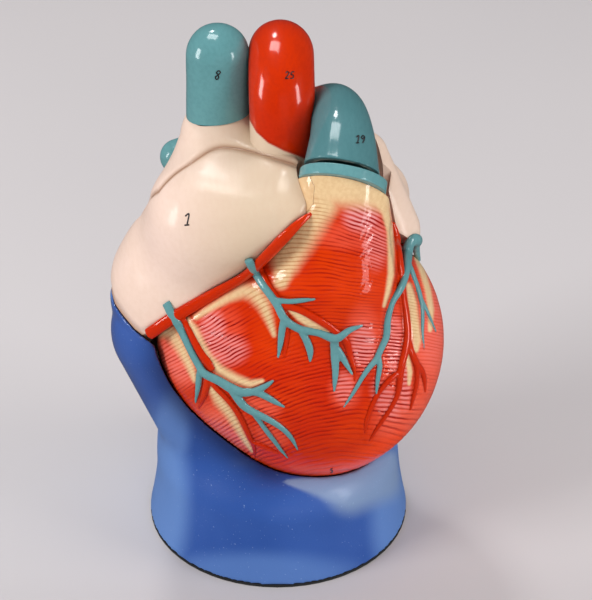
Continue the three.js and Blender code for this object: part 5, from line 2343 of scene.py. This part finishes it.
@dataclass
class RearHalf:
    """The half of the heart that stays on the stand's rod: back wall, roof of the atria, veins and pins."""

    fit: Fit
    root_radius: float = 17.0
    rod_hole: float = 4.3
    upper_vein_radius: float = 17.0
    upper_vein_bore: float = 14.0
    lower_vein_radius: float = 13.0
    lower_vein_bore: float = 10.0
    lung_vein_radius: float = 9.0
    lung_vein_bore: float = 6.0
    lung_artery_radius: float = 10.0

    def build(self) -> None:
        """Makes every piece of the rear half."""
        self.rear_body()
        self.atrial_body()
        self.great_veins()
        self.lung_veins()
        for k, (x, z) in enumerate(PIN_PLACES):
            berth = Berth(f"pin_{k + 1}", "heart", "steel", (f"locating_pin_{k + 1}",))
            finished(pin_at(x, z, PIN_RADIUS, 0.0), berth, self.fit.coats("steel"))

    def aortic_root(self, extra: float) -> Solid:
        """The stump of the aorta, grown by a margin.

        Args:
            extra: the margin.

        Returns:
            The stump.
        """
        foot = np.array([14.0, 3.0, 188.0]) + unit(6, 2, -10) * extra
        radii = [more + self.root_radius + extra for more in (1.5, 1.0, 0.0)]
        stump = tube([foot, (8, 1, 198), (4, 0, 207)], radii)
        return stump.join(rod(AORTA_ROOT - (0, 0, 12), AORTA_ROOT, self.root_radius + extra))

    def rear_body(self) -> None:
        """The back wall of the ventricles with the septum."""
        s = self.fit.solids
        mass = s.heart.join(self.aortic_root(-s.gap))
        mass = mass.cut(s.front_zone(s.gap), s.left_chamber, s.right_chamber)
        body = mass.cut(rod((22, 14, 0), (22, 14, 72.4), self.rod_hole), *pin_holes())
        kinds = layers(body, FORMS.ventricles, (FORMS.left_chamber, FORMS.right_chamber))
        berth = Berth("rear_wall_painted", "heart", "muscle", ("rear_heart_body",))
        coats = self.fit.coats("muscle", "chamber", "cut_face")
        finished(body, berth, coats, kinds, REAR.marks(body.places()))

    def vein_bores(self) -> tuple[Solid, Solid]:
        """The bores of the upper and the lower great vein."""
        upper = rod((-36, 8, 190), (-31, 21, 282), self.upper_vein_bore)
        return upper, rod((-36, 8, 164), (-53.5, 71, 149.7), self.lower_vein_bore)

    def atria_shell(self) -> Solid:
        """The hollow atria before they are parted."""
        s = self.fit.solids
        lines = self.lung_vein_lines().values()
        bores = [rod(start, reach, self.lung_vein_bore) for start, _, reach in lines]
        socket = rod(SOCKET_FOOT, (3.7, 0.4, 262), 17.8)
        rooms = (s.slack, s.right_space, s.left_space, s.front_zone(s.gap), socket, self.aortic_root(0.8))
        return s.atria.cut(*rooms, mitral_way(14.8), tricuspid_way(15.8), *self.vein_bores(), *bores)

    def atrial_body(self) -> None:
        """The roof and back of the atria, with both covers."""
        s = self.fit.solids
        shell = self.atria_shell()
        auricle = Skin(AURICLE_MIDDLE, 50).over(FORMS.left_auricle, auricle_relief)
        auricle = auricle.cut(s.slack, s.front_zone(s.gap), s.left_space)
        left = shell.join(auricle).keep(LEFT_SEAM.side()).cut(s.atrium_zone(s.gap), mitral_way(14.8))
        roof = shell.cut(s.atrium_zone(s.gap), LEFT_SEAM.side(-s.gap), s.rim_step(s.step))
        right = shell.keep(s.atrium_zone(0.0))
        hollows = (grow(-FORMS.atrium_wall, FORMS.right_atrium), grow(-FORMS.atrium_wall, FORMS.left_atrium))
        outside = nearest(FORMS.atria, FORMS.left_auricle)
        for name, solid, body, node in (
            ("atrial_roof_painted", roof, "heart", "atrial_body"),
            ("right_atrium_painted", right, "right_atrium", "right_atrium_wall"),
            ("left_atrium_painted", left, "left_atrium", "left_atrium_wall"),
        ):
            kinds, marks = layers(solid, outside, hollows), atrial_paint(solid.places())
            coats = self.fit.coats("atrium", "chamber", "atrium")
            finished(solid, Berth(name, body, "cream", (node,)), coats, kinds, marks)

    def great_veins(self) -> None:
        """The upper and lower great veins and the end of the right pulmonary artery."""
        s = self.fit.solids
        upper_bore, lower_bore = self.vein_bores()
        grown = s.atria_grown(s.gap + FORMS.paint_depth)
        upper = self.upper_vein(-s.gap).cut(grown, upper_bore).raised(lambda p: 0.12 * ripples(p, 26.0))
        lower = rod((-42, 30, 160), (-51, 62, 152), self.lower_vein_radius).cut(grown, lower_bore)
        end = (-56, 48, 210)
        stub = rod((-28, 51, 219), end, self.lung_artery_radius).join(ball(end, self.lung_artery_radius, 20))
        for name, solid, node in (
            ("upper_great_vein", upper, "superior_vena_cava"),
            ("lower_great_vein", lower.merged(0.6, 3), "inferior_vena_cava"),
            ("right_lung_artery_end", stub.cut(grown, self.upper_vein(s.gap)), "right_pulmonary_artery"),
        ):
            finished(solid, Berth(name, "heart", "teal", (node,)), self.fit.coats("vein"))

    def upper_vein(self, extra: float) -> Solid:
        """The upper great vein with its rounded end, grown by a margin."""
        foot, end = UPPER_VEIN
        radius = self.upper_vein_radius + extra
        return rod(foot, end, self.upper_vein_radius + 0.4 + extra, radius).join(ball(end, radius, 28))

    def lung_vein_lines(self) -> dict[str, tuple[np.ndarray, np.ndarray, np.ndarray]]:
        """Where each pulmonary vein starts and ends, and where its bore ends, by its node.

        Returns:
            The three places of each vein.
        """
        ends = {
            "pulmonary_vein_right_upper": ((4, 50, 199), (-14, 74, 206)),
            "pulmonary_vein_right_lower": ((4, 50, 179), (-14, 74, 173)),
            "pulmonary_vein_left_upper": ((21, 56, 199), (25, 86, 206)),
            "pulmonary_vein_left_lower": ((21, 56, 179), (25, 86, 173)),
        }
        found = {}
        for name, (start, end) in ends.items():
            a, b = np.array(start, float), np.array(end, float)
            found[name] = (a, b, b + unit(*(b - a)) * 2.0)
        return found

    def lung_veins(self) -> None:
        """The four pulmonary veins."""
        grown = self.fit.solids.atria_grown(self.fit.solids.gap + FORMS.paint_depth)
        for name, (start, end, reach) in self.lung_vein_lines().items():
            solid = rod(start, end, self.lung_vein_radius).cut(grown, rod(start, reach, self.lung_vein_bore))
            berth = Berth(name + "_painted", "heart", "artery", (name,))
            finished(solid.merged(0.6, 4), berth, self.fit.coats("artery"))


def auricle_relief(places: np.ndarray) -> np.ndarray:
    """The lobed skin of the left auricle, in millimetres."""
    return 0.14 * ripples(places, 17.0, 1.0)


def atrial_paint(places: np.ndarray) -> dict[str, np.ndarray]:
    """The painted values on the atria.

    Args:
        places: one row for each place.

    Returns:
        The values at each place, by name.
    """
    pixels = VIEW.project(places)
    left = 1.0 - smooth_step(150.0, 260.0, pixels[:, 0])
    low = smooth_step(190.0, 300.0, pixels[:, 1]) * smooth_step(170.0, 240.0, pixels[:, 0])
    edge = beside(ATRIUM_EDGE, ATRIUM_SEAM, places, 3.0)
    front = np.where(places[:, 1] < 0.0, FRONT_EDGE.away(places), FAR)
    auricle = smooth_step(360.0, 372.0, pixels[:, 0])
    return {
        # Pinker, lighter paint to the left and on the left auricle, which the trunk shades: partly pink
        # paint, partly painted light
        "rose_and_painted_light": np.maximum(0.75 * left, 0.5 * auricle),
        "tan": np.maximum(0.7 * low, 0.6 * smooth_step(250.0, 310.0, pixels[:, 0])) * (1.0 - auricle),
        # Painted shade in the grooves along the seams of the covers
        "painted_shade": np.maximum(0.8 * np.exp(-((edge / 1.5) ** 2)), 0.35 * np.exp(-((front / 1.2) ** 2))),
    }


# The lower edge of the cream paint on the arch, as the pixels' columns and rows
CUFF_ACROSS = (240.0, 246.0, 250.0, 256.0, 268.0, 284.0, 300.0, 320.0)
CUFF_DOWN = (104.0, 112.0, 121.0, 132.0, 143.0, 151.0, 157.0, 166.0)


def arch_paint(places: np.ndarray) -> dict[str, np.ndarray]:
    """The cream cuff where the paint of the atria runs on over the foot of the arch, with a line of painted
    shade along its edge.

    Args:
        places: one row for each place.

    Returns:
        The values at each place, by name.
    """
    pixels = VIEW.project(places)
    below = pixels[:, 1] - np.interp(pixels[:, 0], CUFF_ACROSS, CUFF_DOWN)
    front = smooth_step(-12.0, -4.0, -places[:, 1]) * smooth_step(-266.0, -262.0, -places[:, 2])
    return {
        "cuff": smooth_step(-0.8, 0.8, below) * front,
        # Painted shade along the cuff's lower edge
        "painted_shade": 0.5 * np.exp(-(((below + 1.5) / 1.6) ** 2)) * front,
    }


@dataclass
class GreatVessels:
    """The aortic arch, the pulmonary trunk and the ligament between them, which lift off together."""

    fit: Fit
    arch_radius: float = 17.6
    arch_line: tuple[Point, ...] = (
        (4, 0, 214), (3.5, 0, 246), (3, 5, 275), (2.5, 22, 286), (2, 42, 274), (5, 57, 252), (7, 62, 234),
    )
    taper: tuple[float, ...] = (0, 0, 0, 0, 0.6, 1.6, 2.6)
    trunk_line: tuple[Point, ...] = ((33.7, -35.5, 244.5), (34.5, -18, 258), (32, 4, 262), (23, 24, 253))
    trunk_radii: tuple[float, ...] = (20.5, 17, 14, 12)
    bore: float = 14.0

    def arch(self, extra: float, sides: int = 64, steps: int = 72) -> Solid:
        """The outside of the arch, grown by a margin."""
        return tube(self.arch_line, [self.arch_radius - less + extra for less in self.taper], sides, steps)

    def trunks(self, extra: float) -> list[Solid]:
        """The outsides of the pulmonary trunk and its branches, grown by a margin.

        Args:
            extra: the margin.

        Returns:
            The trunk, its left branch and its right branch.
        """
        left = [(29, 10, 257), (33, 32, 243), (37, 50, 236)]
        right = [(25, 18, 256), (8, 42, 241), (-14, 50, 233)]
        return [
            tube(self.trunk_line, [r + extra for r in self.trunk_radii], 64, 60),
            tube(left, [r + extra for r in (11, 10, 9.5)]),
            tube(right, [r + extra for r in (12, 10.5, 10)]),
        ]

    def build(self, rear: RearHalf) -> None:
        """Makes the three pieces.

        Args:
            rear: the rear half, whose upper great vein the arch passes.
        """
        s = self.fit.solids
        trunk, *branches = self.trunks(-s.gap)
        bore = tube([VALVE.along(-4), *self.trunk_line[1:]], [16.5, 13.5, 10.4, 8.4])
        auricle = Skin(AURICLE_MIDDLE, 30).over(grow(0.7, FORMS.left_auricle)).keep(LEFT_SEAM.side(-0.4))
        mass = trunk.join(*branches).cut(VALVE.back().side(-3.2), bore, s.atria_grown(0.7), auricle)
        berth = Berth("pulmonary_trunk_painted", "great_vessels", "teal", ("pulmonary_trunk",))
        finished(mass.merged(0.7, 4), berth, self.fit.coats("trunk"))
        end = np.array([7.0, 62.0, 234.0]) + unit(2, 5, -18) * 4.0
        arch_bore = tube([(4, 0, 210), *self.arch_line[1:-1], end], [self.bore - less for less in self.taper])
        root = rod(SOCKET_FOOT, AORTA_ROOT + (0, 0, 0.4), 23.6)
        arch = self.arch(-s.gap, 200, 300).raised(lambda p: 0.12 * ripples(p, 30.0, 1.0))
        arch = arch.cut(arch_bore, *self.trunks(s.gap), rear.upper_vein(2 * s.gap), s.slack, root)
        berth = Berth("aortic_arch_painted", "great_vessels", "artery", ("aortic_arch",))
        finished(arch, berth, self.fit.coats("artery"), marks=arch_paint(arch.places()))
        cord = rod((6, 34, 272), (30, 27, 250), 2.6).cut(self.arch(s.gap), *self.trunks(s.gap))
        berth = Berth("ligament_painted", "great_vessels", "valve", ("arterial_ligament",))
        finished(cord, berth, self.fit.coats("valve"))


@dataclass(frozen=True)
class ScrewRing:
    """Screws with sunk cross heads, repeated round a circle by geometry nodes, in millimetres.

    Args:
        finish: what they are made of.
        circle: the radius of the circle.
        count: how many screws stand on it.
        head_radius: the radius of a head.
        head_height: the height of a head.
        shank_radius: the radius of a shank.
        length: the length of a shank.
        foot: how high the undersides of the heads lie.
        slot_width: the width of the cross in a head.
        slot_depth: the depth of that cross.
    """

    finish: Finish
    circle: float = 60.0
    count: int = 4
    head_radius: float = 3.6
    head_height: float = 2.2
    shank_radius: float = 1.8
    length: float = 15.8
    foot: float = 2.2
    slot_width: float = 0.9
    slot_depth: float = 1.1

    def sizes(self) -> dict[str, float]:
        """The lengths that the tree takes, by the names of its inputs."""
        names = ("circle", "head_radius", "head_height", "shank_radius", "length", "slot_width", "slot_depth")
        return {name.replace("_", " ").capitalize(): float(getattr(self, name)) for name in names}

    def build(self) -> bpy.types.Mesh:
        """Runs the tree on an empty mesh and hands back the plain mesh.

        Returns:
            The screws, in millimetres.
        """
        tree = self._tree()
        holder = linked("screw ring", bpy.data.meshes.new("screw ring"))
        modifier = holder.modifiers.new("screws", "NODES")
        modifier.node_group = tree
        keys = {item.name: item.identifier for item in tree.interface.items_tree if item.in_out == "INPUT"}
        for name, value in {**self.sizes(), "Count": self.count}.items():
            modifier[keys[name]] = value
        made = evaluated_mesh(holder)
        holder.modifiers.remove(modifier)
        bpy.data.objects.remove(holder)
        return made

    def _tree(self) -> bpy.types.NodeTree:
        """The tree: one screw, the places round the circle, and the copies made real.

        Returns:
            The tree.
        """
        tree = bpy.data.node_groups.new("screws round a circle", "GeometryNodeTree")
        for name in self.sizes():
            tree.interface.new_socket(name=name, in_out="INPUT", socket_type="NodeSocketFloat")
        tree.interface.new_socket(name="Count", in_out="INPUT", socket_type="NodeSocketInt")
        tree.interface.new_socket(name="Geometry", in_out="OUTPUT", socket_type="NodeSocketGeometry")
        graph = Graph(tree)
        given = graph.add("NodeGroupInput").outputs

        def made(kind: str, values: Inputs | None = None, **settings: object) -> Socket:
            """What a geometry node hands on."""
            return graph.add("GeometryNode" + kind, values, **settings).outputs[0]

        def vector(x: object, y: object, z: object) -> Socket:
            """Three numbers as one vector."""
            return graph.node("CombineXYZ", {0: x, 1: y, 2: z}).outputs[0]

        def raised(mesh: Socket, z: object) -> Socket:
            """A mesh moved up."""
            return made("Transform", {"Geometry": mesh, "Translation": vector(0.0, 0.0, z)})

        def turned(mesh: Socket, angle: float) -> Socket:
            """A mesh turned round the upright axis."""
            return made("Transform", {"Geometry": mesh, "Rotation": (0.0, 0.0, angle)})

        def cylinder(sides: int, radius: str, depth: str) -> Socket:
            """An upright cylinder whose sizes are inputs of the tree."""
            return made("MeshCylinder", {"Vertices": sides, "Radius": given[radius], "Depth": given[depth]})

        def joined(*meshes: Socket) -> Socket:
            """Some meshes as one."""
            union = graph.add("GeometryNodeMeshBoolean", operation="UNION")
            for mesh in meshes:
                graph.fill(union, {"Mesh 2": mesh})
            return union.outputs[0]

        sunk = vector(given["Head radius"], given["Slot width"], graph.times(given["Slot depth"], 2.0))
        slot = raised(made("MeshCube", {"Size": sunk}), graph.times(given["Head height"], -0.5))
        cross = joined(slot, turned(slot, math.pi / 2))
        head = cylinder(48, "Head radius", "Head height")
        head = made("MeshBoolean", {"Mesh 1": head, "Mesh 2": cross}, operation="DIFFERENCE")
        rise = graph.math("ADD", graph.times(given["Length"], 0.5), 0.3)
        shank = raised(cylinder(32, "Shank radius", "Length"), rise)
        screw = raised(joined(head, shank), self.foot + 0.5 * self.head_height)
        ring = made("MeshCircle", {"Vertices": given["Count"], "Radius": given["Circle"]})
        ring = turned(ring, math.pi / 4)
        copies = made("RealizeInstances", {0: made("InstanceOnPoints", {"Points": ring, "Instance": screw})})
        painted = made("SetMaterial", {"Geometry": copies, "Material": self.finish.material()})
        graph.add("NodeGroupOutput", {0: painted})
        return tree


# Painted sheen: a pale band on the stand below the heart, where a reflection falls
STAND_PAINTED_SHEEN = bands((0.45, (288, 482, 5), (318, 486, 20), (350, 490, 46), (380, 478, 46), (396, 464, 30)))
# Painted light: paler ovals on the stand's left and right sides and its foot
STAND_PAINTED_LIGHT = ovals(
    (160, 500, 30, 90, 0, 1.0), (400, 520, 30, 70, 0, 0.85), (168, 440, 22, 50, -10, 0.8),
    (250, 578, 120, 26, 0, 0.6),
)


@dataclass
class Stand:
    """The cast blue stand with its base plate, felt, screws, rod and nut."""

    fit: Fit
    wall: float = 7.0
    cradle_wall: float = 9.0
    shell_foot: float = 2.0
    seat_top: float = 7.4
    plate_top: float = 7.0
    plate_radius: float = 70.0
    felt_thickness: float = 1.6
    felt_radius: float = 76.4
    clear_way: float = 60.0
    screw_circle: float = 60.0
    rod_radius: float = 4.0
    rod_hole: float = 4.3
    rod_place: tuple[float, float] = (22.0, 14.0)

    def way_out(self, extra: float) -> Solid:
        """The space that the heart passes through when it is lifted out or drawn off.

        Args:
            extra: how much wider it is.

        Returns:
            The space.
        """
        s = self.fit.solids
        up = swept(FORMS.ventricles, UP, self.clear_way, 6)
        forward = swept(FORMS.ventricles, FRONT_EDGE.pull, self.clear_way, 6)
        atria = swept(FORMS.atria, UP, self.clear_way, 6)
        ventricles = Skin(HEART_MIDDLE, 50).over(grow(extra, nearest(up, forward)))
        roof = Skin(WAY_MIDDLE, 44).over(grow(extra, atria))
        inner = Skin(WAY_MIDDLE, 36).over(grow(extra - s.step, atria))
        return ventricles.join(roof.cut(s.rim_zone(-extra).cut(inner)))

    def build(self) -> None:
        """Makes every piece of the stand."""
        shell = self.shell()
        berth = Berth("stand_painted", "stand", "blue", ("stand_shell",))
        finished(shell, berth, self.fit.coats("stand"), marks=stand_paint(shell.places()), sharp_degrees=60.0)
        plate = rod((0, 0, self.shell_foot), (0, 0, self.plate_top), self.plate_radius)
        berth = Berth("board_under_stand", "stand", "plate", ("base_plate",))
        finished(plate, berth, self.fit.coats("board"))
        felt = rod((0, 0, 0), (0, 0, self.felt_thickness), self.felt_radius)
        finished(felt, Berth("felt_under_stand", "stand", "felt", ("felt_pad",)), self.fit.coats("felt"))
        screws = Solid(ScrewRing(self.fit.finishes.steel, self.screw_circle).build())
        berth = Berth("base_screws", "stand", "steel", tuple(f"base_screw_{k + 1}" for k in range(4)))
        finished(screws, berth, self.fit.coats("steel"))
        post = self.rod_bar(self.rod_radius)
        finished(post, Berth("heart_rod", "stand", "steel", ("support_rod",)), self.fit.coats("steel"))

    def shell(self) -> Solid:
        """The hollow casting with its cradle, its boss and its posts.

        Returns:
            The casting.
        """
        s = self.fit.solids
        whole = Skin(STAND_MIDDLE, 70).over(grow(-0.1, FORMS.stand))
        inside = Skin(STAND_MIDDLE, 36).over(grow(-self.wall, FORMS.stand))
        inside = inside.cut(self.way_out(self.cradle_wall))
        floor = Seam((0, 0, self.shell_foot), UP).side()
        boss = rod((*self.rod_place, 30), (*self.rod_place, 60), 11)
        posts = [rod((x, y, self.seat_top), (x, y, 26), 7) for x, y in self.screw_places()]
        body = whole.keep(floor).cut(inside).join(boss, *posts).keep(whole)
        flush = s.atria.keep(s.rim_zone(-s.cradle_gap))
        way = self.way_out(s.cradle_gap + FORMS.paint_depth)
        seat = rod((0, 0, 0), (0, 0, self.seat_top), self.plate_radius + 0.4)
        shell = body.join(flush).cut(way, s.atrium_zone(0.8), seat, self.rod_bar(self.rod_hole))
        return shell.merged(1.0, 5).evaluated(("DECIMATE", {"ratio": 0.6}))

    def screw_places(self) -> list[tuple[float, float]]:
        """Where the four screws stand."""
        angles = [math.pi / 4 + k * math.pi / 2 for k in range(4)]
        return [(self.screw_circle * math.cos(a), self.screw_circle * math.sin(a)) for a in angles]

    def rod_bar(self, radius: float) -> Solid:
        """The support rod, or the hole for it."""
        top = 72.0 + (radius - self.rod_radius)
        return rod((*self.rod_place, 21.6), (*self.rod_place, top), radius)


def stand_paint(places: np.ndarray) -> dict[str, np.ndarray]:
    """The painted values on the stand, with its painted light, sheen and shade.

    Args:
        places: one row for each place.

    Returns:
        The values at each place, by name.
    """
    pixels = VIEW.project(places)
    front = smooth_step(0.0, 20.0, -places[:, 1])
    # Painted sheen below the heart
    painted_sheen = most(STAND_PAINTED_SHEEN, pixels) * front
    above = np.maximum(FORMS.ventricles(places), 0.0)
    shade = 0.75 * np.exp(-((above / 9.0) ** 2))
    return {
        "painted_sheen": painted_sheen,
        # Painted light on the sides and foot, and paler paint over the back half
        "pale": np.maximum(most(STAND_PAINTED_LIGHT, pixels), 1.0 - front),
        # Painted shade under the heart's edge, on the left
        "painted_shade": shade * (1.0 - painted_sheen) * smooth_step(0.0, 40.0, 300.0 - pixels[:, 0]),
        "gloss": 0.08 + 0.67 * smooth_step(80.0, 105.0, places[:, 2]),
    }


# The strokes of each numeral, its height being 1
NUMERALS = {
    "1": (((0.10, 0.24), (0.40, 0.02), (0.26, 0.96)), ((0.04, 0.98), (0.46, 0.94))),
    "2": (((0.1, 0.24), (0.3, 0.02), (0.52, 0.2), (0.28, 0.62), (0.0, 0.96)), ((0.0, 0.96), (0.48, 0.92))),
    "5": (((0.6, 0.03), (0.26, 0.05)), ((0.26, 0.05), (0.16, 0.42), (0.44, 0.48), (0.4, 0.86), (0.02, 0.92))),
    "8": (
        (
            (0.34, 0.46), (0.16, 0.24), (0.40, 0.02), (0.58, 0.18), (0.34, 0.46), (0.04, 0.74), (0.18, 0.97),
            (0.42, 0.78),
        ),
        ((0.42, 0.78), (0.34, 0.46)),
    ),
    "9": (((0.54, 0.18), (0.34, 0.02), (0.14, 0.26), (0.32, 0.46), (0.54, 0.18), (0.46, 0.6), (0.28, 0.98)),),
}
NUMERAL_STEP = 0.62


@dataclass(frozen=True)
class KeyNumber:
    """A small number written in ink on the model, read from the photograph.

    Args:
        text: its numerals.
        x: the pixel at its left.
        y: the pixel at its top.
        height: how many pixels high it is.
        body: the body it is written on.
        pen: the radius of its strokes, in millimetres.
    """

    text: str
    x: float
    y: float
    height: float
    body: str
    pen: float = 0.42

    def solid(self, form: Form) -> Solid:
        """Its strokes as thin closed bodies on a form.

        Args:
            form: what it is written on.

        Returns:
            The strokes.
        """
        strokes = []
        for place, numeral in enumerate(self.text):
            for stroke in NUMERALS[numeral]:
                rows = np.array([(NUMERAL_STEP * place + u, v, 0.0) for u, v in stroke]) * self.height
                line = smooth_line(rows + (self.x, self.y, 0.0), 6 * len(rows))
                places = VIEW.land(form, line[:, :2])
                out = outwards(form, places)
                radii = np.full(len(line), self.pen)
                radii[[0, -1]] = 0.45 * self.pen
                strokes.append(hose(places + 0.12 * out, radii, 10, out, 0.72))
        return heap(strokes)


@dataclass
class KeyNumbers:
    """Every number of the key, each on its own piece."""

    fit: Fit
    vessels: GreatVessels

    def build(self) -> None:
        """Writes the numbers."""
        knots = 30
        arch = along_line(
            smooth_line(self.vessels.arch_line, knots), np.full(knots + 1, self.vessels.arch_radius - 0.1)
        )
        widths = np.interp(np.linspace(0, 3, knots + 1), range(4), self.vessels.trunk_radii)
        trunk = along_line(smooth_line(self.vessels.trunk_line, knots), widths - 0.1)
        for name, form, number in (
            ("upper_vein", limb(*UPPER_VEIN, 17.25, 16.85), KeyNumber("8", 215, 70.5, 9.2, "heart", 0.36)),
            ("arch", arch, KeyNumber("25", 285, 71.5, 7.6, "great_vessels", 0.32)),
            ("trunk", trunk, KeyNumber("19", 355.5, 135.5, 7.8, "great_vessels", 0.32)),
            ("right_atrium", FORMS.atria, KeyNumber("1", 184, 213.5, 12.0, "right_atrium")),
            ("front", nearest(FORMS.ventricles, FORMS.atria), KeyNumber("5", 330, 468, 5.0, "front_wall")),
        ):
            finished(number.solid(form), Berth("number_on_" + name, number.body, ""), self.fit.coats("ink"))


# Lamps that don't show as reflections: name, place in metres, watts, width
LAMPS = (
    ("key lamp", (-1.75, -0.80, 1.45), 31.0, 0.9),
    ("side lamp", (1.75, -0.55, 0.9), 18.0, 0.9),
    ("front lamp", (0.25, -1.70, 0.40), 8.0, 1.0),
)


# Windows and lamps that only show as reflections: name, place in metres, watts, width and height
REFLECTIONS = (
    ("left strip", (-0.56, -0.11, 0.38), 2.0, 0.14, 0.26),
    ("tall window", (0.434, -0.251, 0.31), 1.5, 0.09, 0.34),
    ("right window", (0.466, -0.305, 0.09), 0.2, 0.12, 0.10),
    ("overhead", (-0.15, 0.06, 0.77), 2.0, 0.17, 0.26),
)


@dataclass
class Studio:
    """A pale floor, soft lamps and the photograph's camera.

    Args:
        finishes: where the floor's finish is found.
        floor_size: the width of the floor, in metres.
        surround: the strength of the even light from all round.
        dimmed: how much weaker the surround is in reflections.
    """

    finishes: Finishes
    floor_size: float = 6.0
    surround: float = 0.55
    dimmed: float = 0.49

    def build(self) -> None:
        """Sets the stage up."""
        bpy.context.scene.view_settings.view_transform = "Standard"
        self._floor()
        self._world()
        for name, place, watts, width in LAMPS:
            self._lamp(name, place, watts, width).visible_glossy = False
        self._lamp("top lamp", (-0.46, 0.90, 1.80), 9.0, 0.28)
        for name, place, watts, width, height in REFLECTIONS:
            card = self._lamp(name, place, watts, width)
            card.data.shape, card.data.size_y = "RECTANGLE", height
            card.visible_diffuse = card.visible_camera = False
        self._camera()

    def _floor(self) -> None:
        """The pale table, which shows plain and keeps the model's shadow."""
        mesh = bpy.data.meshes.new("pale_floor")
        half = self.floor_size / 2.0
        corners = [(-half, -half, 0), (half, -half, 0), (half, half, 0), (-half, half, 0)]
        mesh.from_pydata(corners, [], [(0, 1, 2, 3)])
        mesh.materials.append(self.finishes.table.material())
        floor = linked("pale_floor", mesh)

    def _world(self) -> None:
        """An even pale surround."""
        world = bpy.data.worlds.new("pale surround")
        world.use_nodes = True
        graph = Graph(world.node_tree)
        glossy = graph.node("LightPath").outputs["Is Glossy Ray"]
        strength = graph.scaled(glossy, -self.dimmed, self.surround)
        graph.fill(world.node_tree.nodes["Background"], {0: (0.82, 0.80, 0.82, 1.0), 1: strength})
        bpy.context.scene.world = world

    def _lamp(self, name: str, place: Point, watts: float, size: float) -> bpy.types.Object:
        """A soft square lamp that faces the heart.

        Args:
            name: its name.
            place: where it hangs, in metres.
            watts: its power.
            size: its width, in metres.

        Returns:
            The lamp.
        """
        light = bpy.data.lights.new(name, "AREA")
        light.energy, light.size = watts, size
        lamp = linked(name, light)
        lamp.location = place
        lamp.rotation_euler = (Vector((0.0, 0.0, 0.24)) - Vector(place)).to_track_quat("-Z", "Y").to_euler()
        return lamp

    def _camera(self) -> None:
        """The camera at the photograph's angle."""
        data = bpy.data.cameras.new("photograph camera")
        data.sensor_width = VIEW.sensor_mm
        data.lens = VIEW.focal * VIEW.sensor_mm / VIEW.height
        data.clip_end = 20.0
        camera = linked("photograph camera", data)
        camera.location = VIEW.eye * MM
        camera.rotation_euler = (math.radians(90.0 - VIEW.elevation), 0.0, 0.0)
        bpy.context.scene.camera = camera


# Nodes of the part that are shown as they are, by their finish
PLAIN_NODES = {
    "steel": ("rod_nut",),
    "valve": (
        "tricuspid_leaflet_1", "tricuspid_leaflet_2", "tricuspid_leaflet_3", "mitral_leaflet_1",
        "mitral_leaflet_2", "aortic_cusp_1", "aortic_cusp_2", "aortic_cusp_3", "pulmonary_cusp_1",
        "pulmonary_cusp_2", "pulmonary_cusp_3", "papillary_left_front", "papillary_left_back",
        "papillary_right_front", "papillary_right_back",
    ),
}


def main() -> None:
    """Builds the whole model in order."""
    logging.basicConfig(level=logging.INFO, format="%(message)s")
    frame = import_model()
    fit = Fit(HeartSolids(), Finishes())
    LOG.info("made the shared solids")
    Stand(fit).build()
    rear = RearHalf(fit)
    rear.build()
    FrontWall(fit).build()
    vessels = GreatVessels(fit)
    vessels.build(rear)
    KeyNumbers(fit, vessels).build()
    for finish, nodes in PLAIN_NODES.items():
        for node in nodes:
            mesh = frame["nodes"][node].data
            mesh.materials.clear()
            mesh.materials.append(getattr(fit.finishes, finish).material())
            LOG.info("gave %s its finish", node)
    Studio(fit.finishes).build()


if __name__ == "__main__":
    main()
